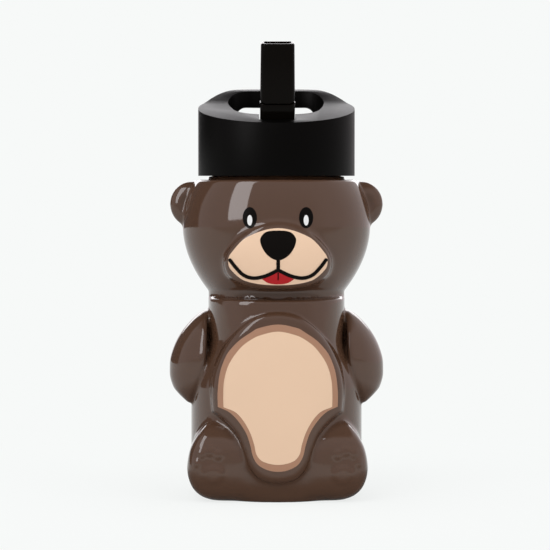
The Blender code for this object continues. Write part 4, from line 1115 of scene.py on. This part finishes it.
def finish(name, colour, roughness, spread=0.03, drift=0.06, drift_scale=40.0, wave_scale=60.0,
           grain_scale=3000.0, grain=0.3, bump=0.05, bump_depth=0.0002, sockets=()):
    """Moulded or printed material with drifting shade, grain and waviness."""
    made = bpy.data.materials.new(name)
    made.use_nodes = True
    tree = made.node_tree
    link = tree.links.new
    shader = tree.nodes["Principled BSDF"]
    shade = fed(tree, "ShaderNodeGroup", (*colour, 1.0), drift, drift_scale, node_tree=DRIFT)
    height = fed(tree, "ShaderNodeGroup", wave_scale, grain_scale, grain, roughness, spread,
                 node_tree=GRAIN)
    relief = node(tree, "ShaderNodeBump")
    relief.inputs["Strength"].default_value = bump
    relief.inputs["Distance"].default_value = bump_depth
    link(height, relief.inputs["Height"])
    link(shade, shader.inputs["Base Color"])
    link(height.node.outputs["Roughness"], shader.inputs["Roughness"])
    link(relief.outputs["Normal"], shader.inputs["Normal"])
    for socket, value in sockets:
        shader.inputs[socket].default_value = value
    return made


def finishes():
    """Materials by the record's slots."""
    dull = (("Specular IOR Level", 0.05),)
    gloss = {"roughness": 0.13, "spread": 0.04, "sockets": dull}
    ink = {"spread": 0.04, "drift": 0.03, "bump": 0.02,
           "sockets": (("Specular IOR Level", 0.04),)}
    return {
        "tinted_bottle_plastic": finish(
            "bear_brown_plastic", (0.077, 0.0385, 0.0225), 0.045, 0.02, drift=0.05,
            drift_scale=25.0, wave_scale=45.0, grain_scale=1500.0, grain=0.0, bump=0.25,
            bump_depth=0.0004),
        "black_lid_plastic": finish(
            "lid_satin_black", (0.0013, 0.0011, 0.0009), 0.36, 0.05, drift=0.1,
            drift_scale=60.0, wave_scale=90.0, grain_scale=2600.0, grain=0.75, bump=0.35,
            bump_depth=0.00012, sockets=dull),
        "gloss_black_plastic": finish("spout_gloss_black", (0.0030, 0.0022, 0.0016), **gloss),
        "mouthpiece_black": finish("mouthpiece_gloss_black", (0.0030, 0.0022, 0.0016), **gloss),
        "dark_inner_plastic": finish(
            "inner_lid_grey", (0.020, 0.019, 0.018), 0.45, 0.06, drift=0.1, drift_scale=60.0,
            wave_scale=90.0, grain_scale=2600.0, grain=0.6, bump=0.3, bump_depth=0.0001),
        "gasket_silicone": finish("gasket_milky_silicone", (0.55, 0.55, 0.52), 0.5),
        "barrel_silicone": finish("seal_milky_silicone", (0.50, 0.50, 0.48), 0.5),
        "valve_silicone": finish("valve_milky_silicone", (0.60, 0.60, 0.58), 0.5),
        "straw_plastic": finish(
            "straw_milky_plastic", (0.70, 0.70, 0.68), 0.25, 0.05,
            sockets=(("Transmission Weight", 0.35),)),
        "black_ink": finish("black_print", (0.0045, 0.0035, 0.0030), 0.22, **ink),
        "white_ink": finish("white_print", (0.80, 0.80, 0.80), 0.3, **ink),
        "peach_ink": finish("peach_print", (0.78, 0.555, 0.395), 0.35, **ink),
        "belly_peach_ink": finish("belly_peach_print", (0.775, 0.555, 0.395), 0.35, **ink),
        "red_ink": finish("red_print", (0.41, 0.019, 0.023), 0.3, **ink),
        "brown_ink": finish("brown_print", (0.386, 0.216, 0.141), 0.35, **ink),
    }


# Stage

def bare_tree(owner, kind):
    """Empty node tree of a world or material, and what links a shader to its output."""
    owner.use_nodes = True
    tree = owner.node_tree
    tree.nodes.clear()
    surface = node(tree, kind).inputs["Surface"]
    return tree, lambda shader: tree.links.new(shader, surface)


def world_light():
    """White surroundings, mirrored darker at the left's rear, overhead and low in front."""
    world = bpy.data.worlds.new("studio")
    bpy.context.scene.world = world
    tree, show = bare_tree(world, "ShaderNodeOutputWorld")
    way = node(tree, "ShaderNodeTexCoord").outputs["Generated"]
    x, y, z = fed(tree, "ShaderNodeSeparateXYZ", way).node.outputs
    x_back, y_back = (fed(tree, "ShaderNodeMath", part, -1.0, operation="MULTIPLY")
                      for part in (x, y))
    azimuth = fed(tree, "ShaderNodeMath", x_back, y_back, operation="ARCTAN2")
    turn = fed(tree, "ShaderNodeMapRange", azimuth, -math.pi, math.pi)
    walls = fed(tree, "ShaderNodeValToRGB", turn).node
    while len(walls.color_ramp.elements) < len(WALLS):
        walls.color_ramp.elements.new(0.5)
    for element, (position, value) in zip(walls.color_ramp.elements, WALLS):
        element.position = position
        element.color = (value, value, value, 1.0)
    ceiling = change(tree, z, *CEILING)
    front = change(tree, y, *FRONT)
    low = change(tree, z, *LOW)
    dimmed = fed(tree, "ShaderNodeMath", front, low, 1.0, operation="MULTIPLY_ADD")
    strength = fed(tree, "ShaderNodeMath", walls.outputs["Color"], ceiling,
                   operation="MULTIPLY")
    strength = fed(tree, "ShaderNodeMath", strength, dimmed, operation="MULTIPLY")
    rays = node(tree, "ShaderNodeLightPath").outputs
    soft = fed(tree, "ShaderNodeBackground", (1.0, 1.0, 1.0, 1.0), SOFT_STRENGTH)
    mirrored = fed(tree, "ShaderNodeBackground", MIRRORED_TINT, strength)
    seen = fed(tree, "ShaderNodeBackground", (*BACKGROUND, 1.0), 1.0)
    unseen = fed(tree, "ShaderNodeMixShader", rays["Is Glossy Ray"], soft, mirrored)
    show(fed(tree, "ShaderNodeMixShader", rays["Is Camera Ray"], unseen, seen))


def floor():
    """Pale floor that keeps the bottle's soft shadow and fades into the background. Its glow as
    seen in reflections carries a painted shadow round the bottle and painted shade towards the
    front.
    """
    edge = [(FLOOR_RADIUS * c, FLOOR_RADIUS * s, FLOOR_Z) for c, s in circle(64)]
    item = mesh_object("studio_floor", edge, [tuple(range(64))])
    made = bpy.data.materials.new("studio_floor")
    tree, show = bare_tree(made, "ShaderNodeOutputMaterial")
    place = node(tree, "ShaderNodeTexCoord").outputs["Object"]
    _, y, _ = fed(tree, "ShaderNodeSeparateXYZ", place).node.outputs
    distance = fed(tree, "ShaderNodeVectorMath", place, operation="LENGTH").node.outputs["Value"]
    colour = (*BACKGROUND, 1.0)
    matt = fed(tree, "ShaderNodeBsdfDiffuse", FLOOR_MATT)
    glow = fed(tree, "ShaderNodeEmission", colour, FLOOR_GLOW)
    lit = fed(tree, "ShaderNodeAddShader", matt, glow)
    far = fed(tree, "ShaderNodeEmission", colour, 1.0)
    fade = change(tree, distance, *FLOOR_FADE)
    shown = fed(tree, "ShaderNodeMixShader", fade, lit, far)
    # Painted shadow round the bottle, in the glow that reflections see
    near = change(tree, distance, *FLOOR_PAINTED_SHADOW)
    # Painted shade towards the front, in the glow that reflections see
    front = change(tree, y, *FLOOR_PAINTED_FRONT_SHADE)
    strength = fed(tree, "ShaderNodeMath", near, front, operation="MULTIPLY")
    mirrored = fed(tree, "ShaderNodeEmission", colour, strength)
    bounce = fed(tree, "ShaderNodeBsdfDiffuse", FLOOR_BOUNCE)
    rays = node(tree, "ShaderNodeLightPath").outputs
    unseen = fed(tree, "ShaderNodeMixShader", rays["Is Glossy Ray"], bounce, mirrored)
    show(fed(tree, "ShaderNodeMixShader", rays["Is Camera Ray"], unseen, shown))
    item.data.materials.append(made)


def place_round(item, azimuth, elevation, distance):
    """Put a panel or lamp round the bottle, by degrees left of the front and up, facing it."""
    turn = math.radians(azimuth)
    lift = math.radians(elevation)
    away = Vector((-math.sin(turn) * math.cos(lift), -math.cos(turn) * math.cos(lift),
                   math.sin(lift)))
    facing = away.to_track_quat("Z", "Y").to_matrix().to_4x4()
    item.matrix_world = Matrix.Translation((Vector(LIT_POINT) + away * distance) * MM) @ facing
    item.visible_camera = False


def panel(name, azimuth, elevation, width, height, strength):
    """Soft panel that shows in glossy reflections only."""
    corners = ((-1, -1), (1, -1), (1, 1), (-1, 1))
    item = mesh_object(name, [(x * width / 2, y * height / 2, 0.0) for x, y in corners],
                       [(0, 1, 2, 3)])
    place_round(item, azimuth, elevation, PANEL_DISTANCE)
    made = bpy.data.materials.new(name)
    tree, show = bare_tree(made, "ShaderNodeOutputMaterial")
    show(fed(tree, "ShaderNodeEmission", PANEL_TINT, strength))
    item.data.materials.append(made)
    item.visible_diffuse = False
    item.visible_transmission = False
    item.visible_shadow = False


def lamp(name, azimuth, elevation, size, power):
    """Large soft lamp that lights the bottle without showing in reflections."""
    light = bpy.data.lights.new(name, "AREA")
    light.shape = "DISK"
    light.size = size * MM
    light.energy = power
    item = new_object(name, light)
    place_round(item, azimuth, elevation, LAMP_DISTANCE)
    item.visible_glossy = False


def camera():
    lens = bpy.data.cameras.new("camera")
    lens.lens = LENS
    lens.sensor_width = 36.0
    lens.clip_start = 0.01
    item = new_object("camera", lens)
    aim = Vector(AIM) * MM
    place = Vector((AIM[0] - CAMERA_DISTANCE * math.sin(CAMERA_YAW),
                    -CAMERA_DISTANCE * math.cos(CAMERA_YAW), CAMERA_HEIGHT)) * MM
    item.location = place
    item.rotation_euler = (aim - place).to_track_quat("-Z", "Y").to_euler()
    bpy.context.scene.camera = item


def cover(item, material):
    item.data.materials.clear()
    item.data.materials.append(material)


def dress(item, body, slot, materials, node_name=None):
    """Give a piece its body, finish and the CAD node that it stands for."""
    cover(item, materials[slot])
    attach(item, body)
    if node_name:
        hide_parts(node_name)
    return item


def main():
    bpy.context.scene.view_settings.view_transform = "Standard"
    camera()
    world_light()
    floor()
    for row in PANELS:
        panel(*row)
    for row in LAMPS:
        lamp(*row)
    materials = finishes()
    for name, item in frame["nodes"].items():
        record_slot = next(part["material_slot"] for part in frame["record"]["subparts"]
                           if part["node"] == name)
        cover(item, materials[record_slot])
    dress(bear_shell(), "bottle", "tinted_bottle_plastic", materials, "bottle_body")
    thread = helix("neck_thread", NECK_RADIUS - THREAD_SUNK, NECK_RADIUS + NECK_THREAD_RISE,
                   THREAD_START_Z)
    dress(thread, "bottle", "tinted_bottle_plastic", materials)
    for name, outline, layer, spacing, node_name, slot in prints():
        item = print_film(name, outline, layer * INK, spacing)
        dress(item, "bottle", slot, materials, node_name)
    dress(lid_cover(), "lid", "black_lid_plastic", materials, "lid_shell")
    thread = helix("inner_lid_thread", INSERT_INNER_RADIUS + THREAD_SUNK,
                   INSERT_INNER_RADIUS - LID_THREAD_RISE,
                   THREAD_START_Z + LID_THREAD_SHIFT * THREAD_PITCH)
    dress(thread, "lid", "dark_inner_plastic", materials)
    dress(mouthpiece_sleeve(), "spout", "mouthpiece_black", materials, "mouthpiece")
    dress(spout_drum(), "spout", "gloss_black_plastic", materials, "spout_barrel")


main()
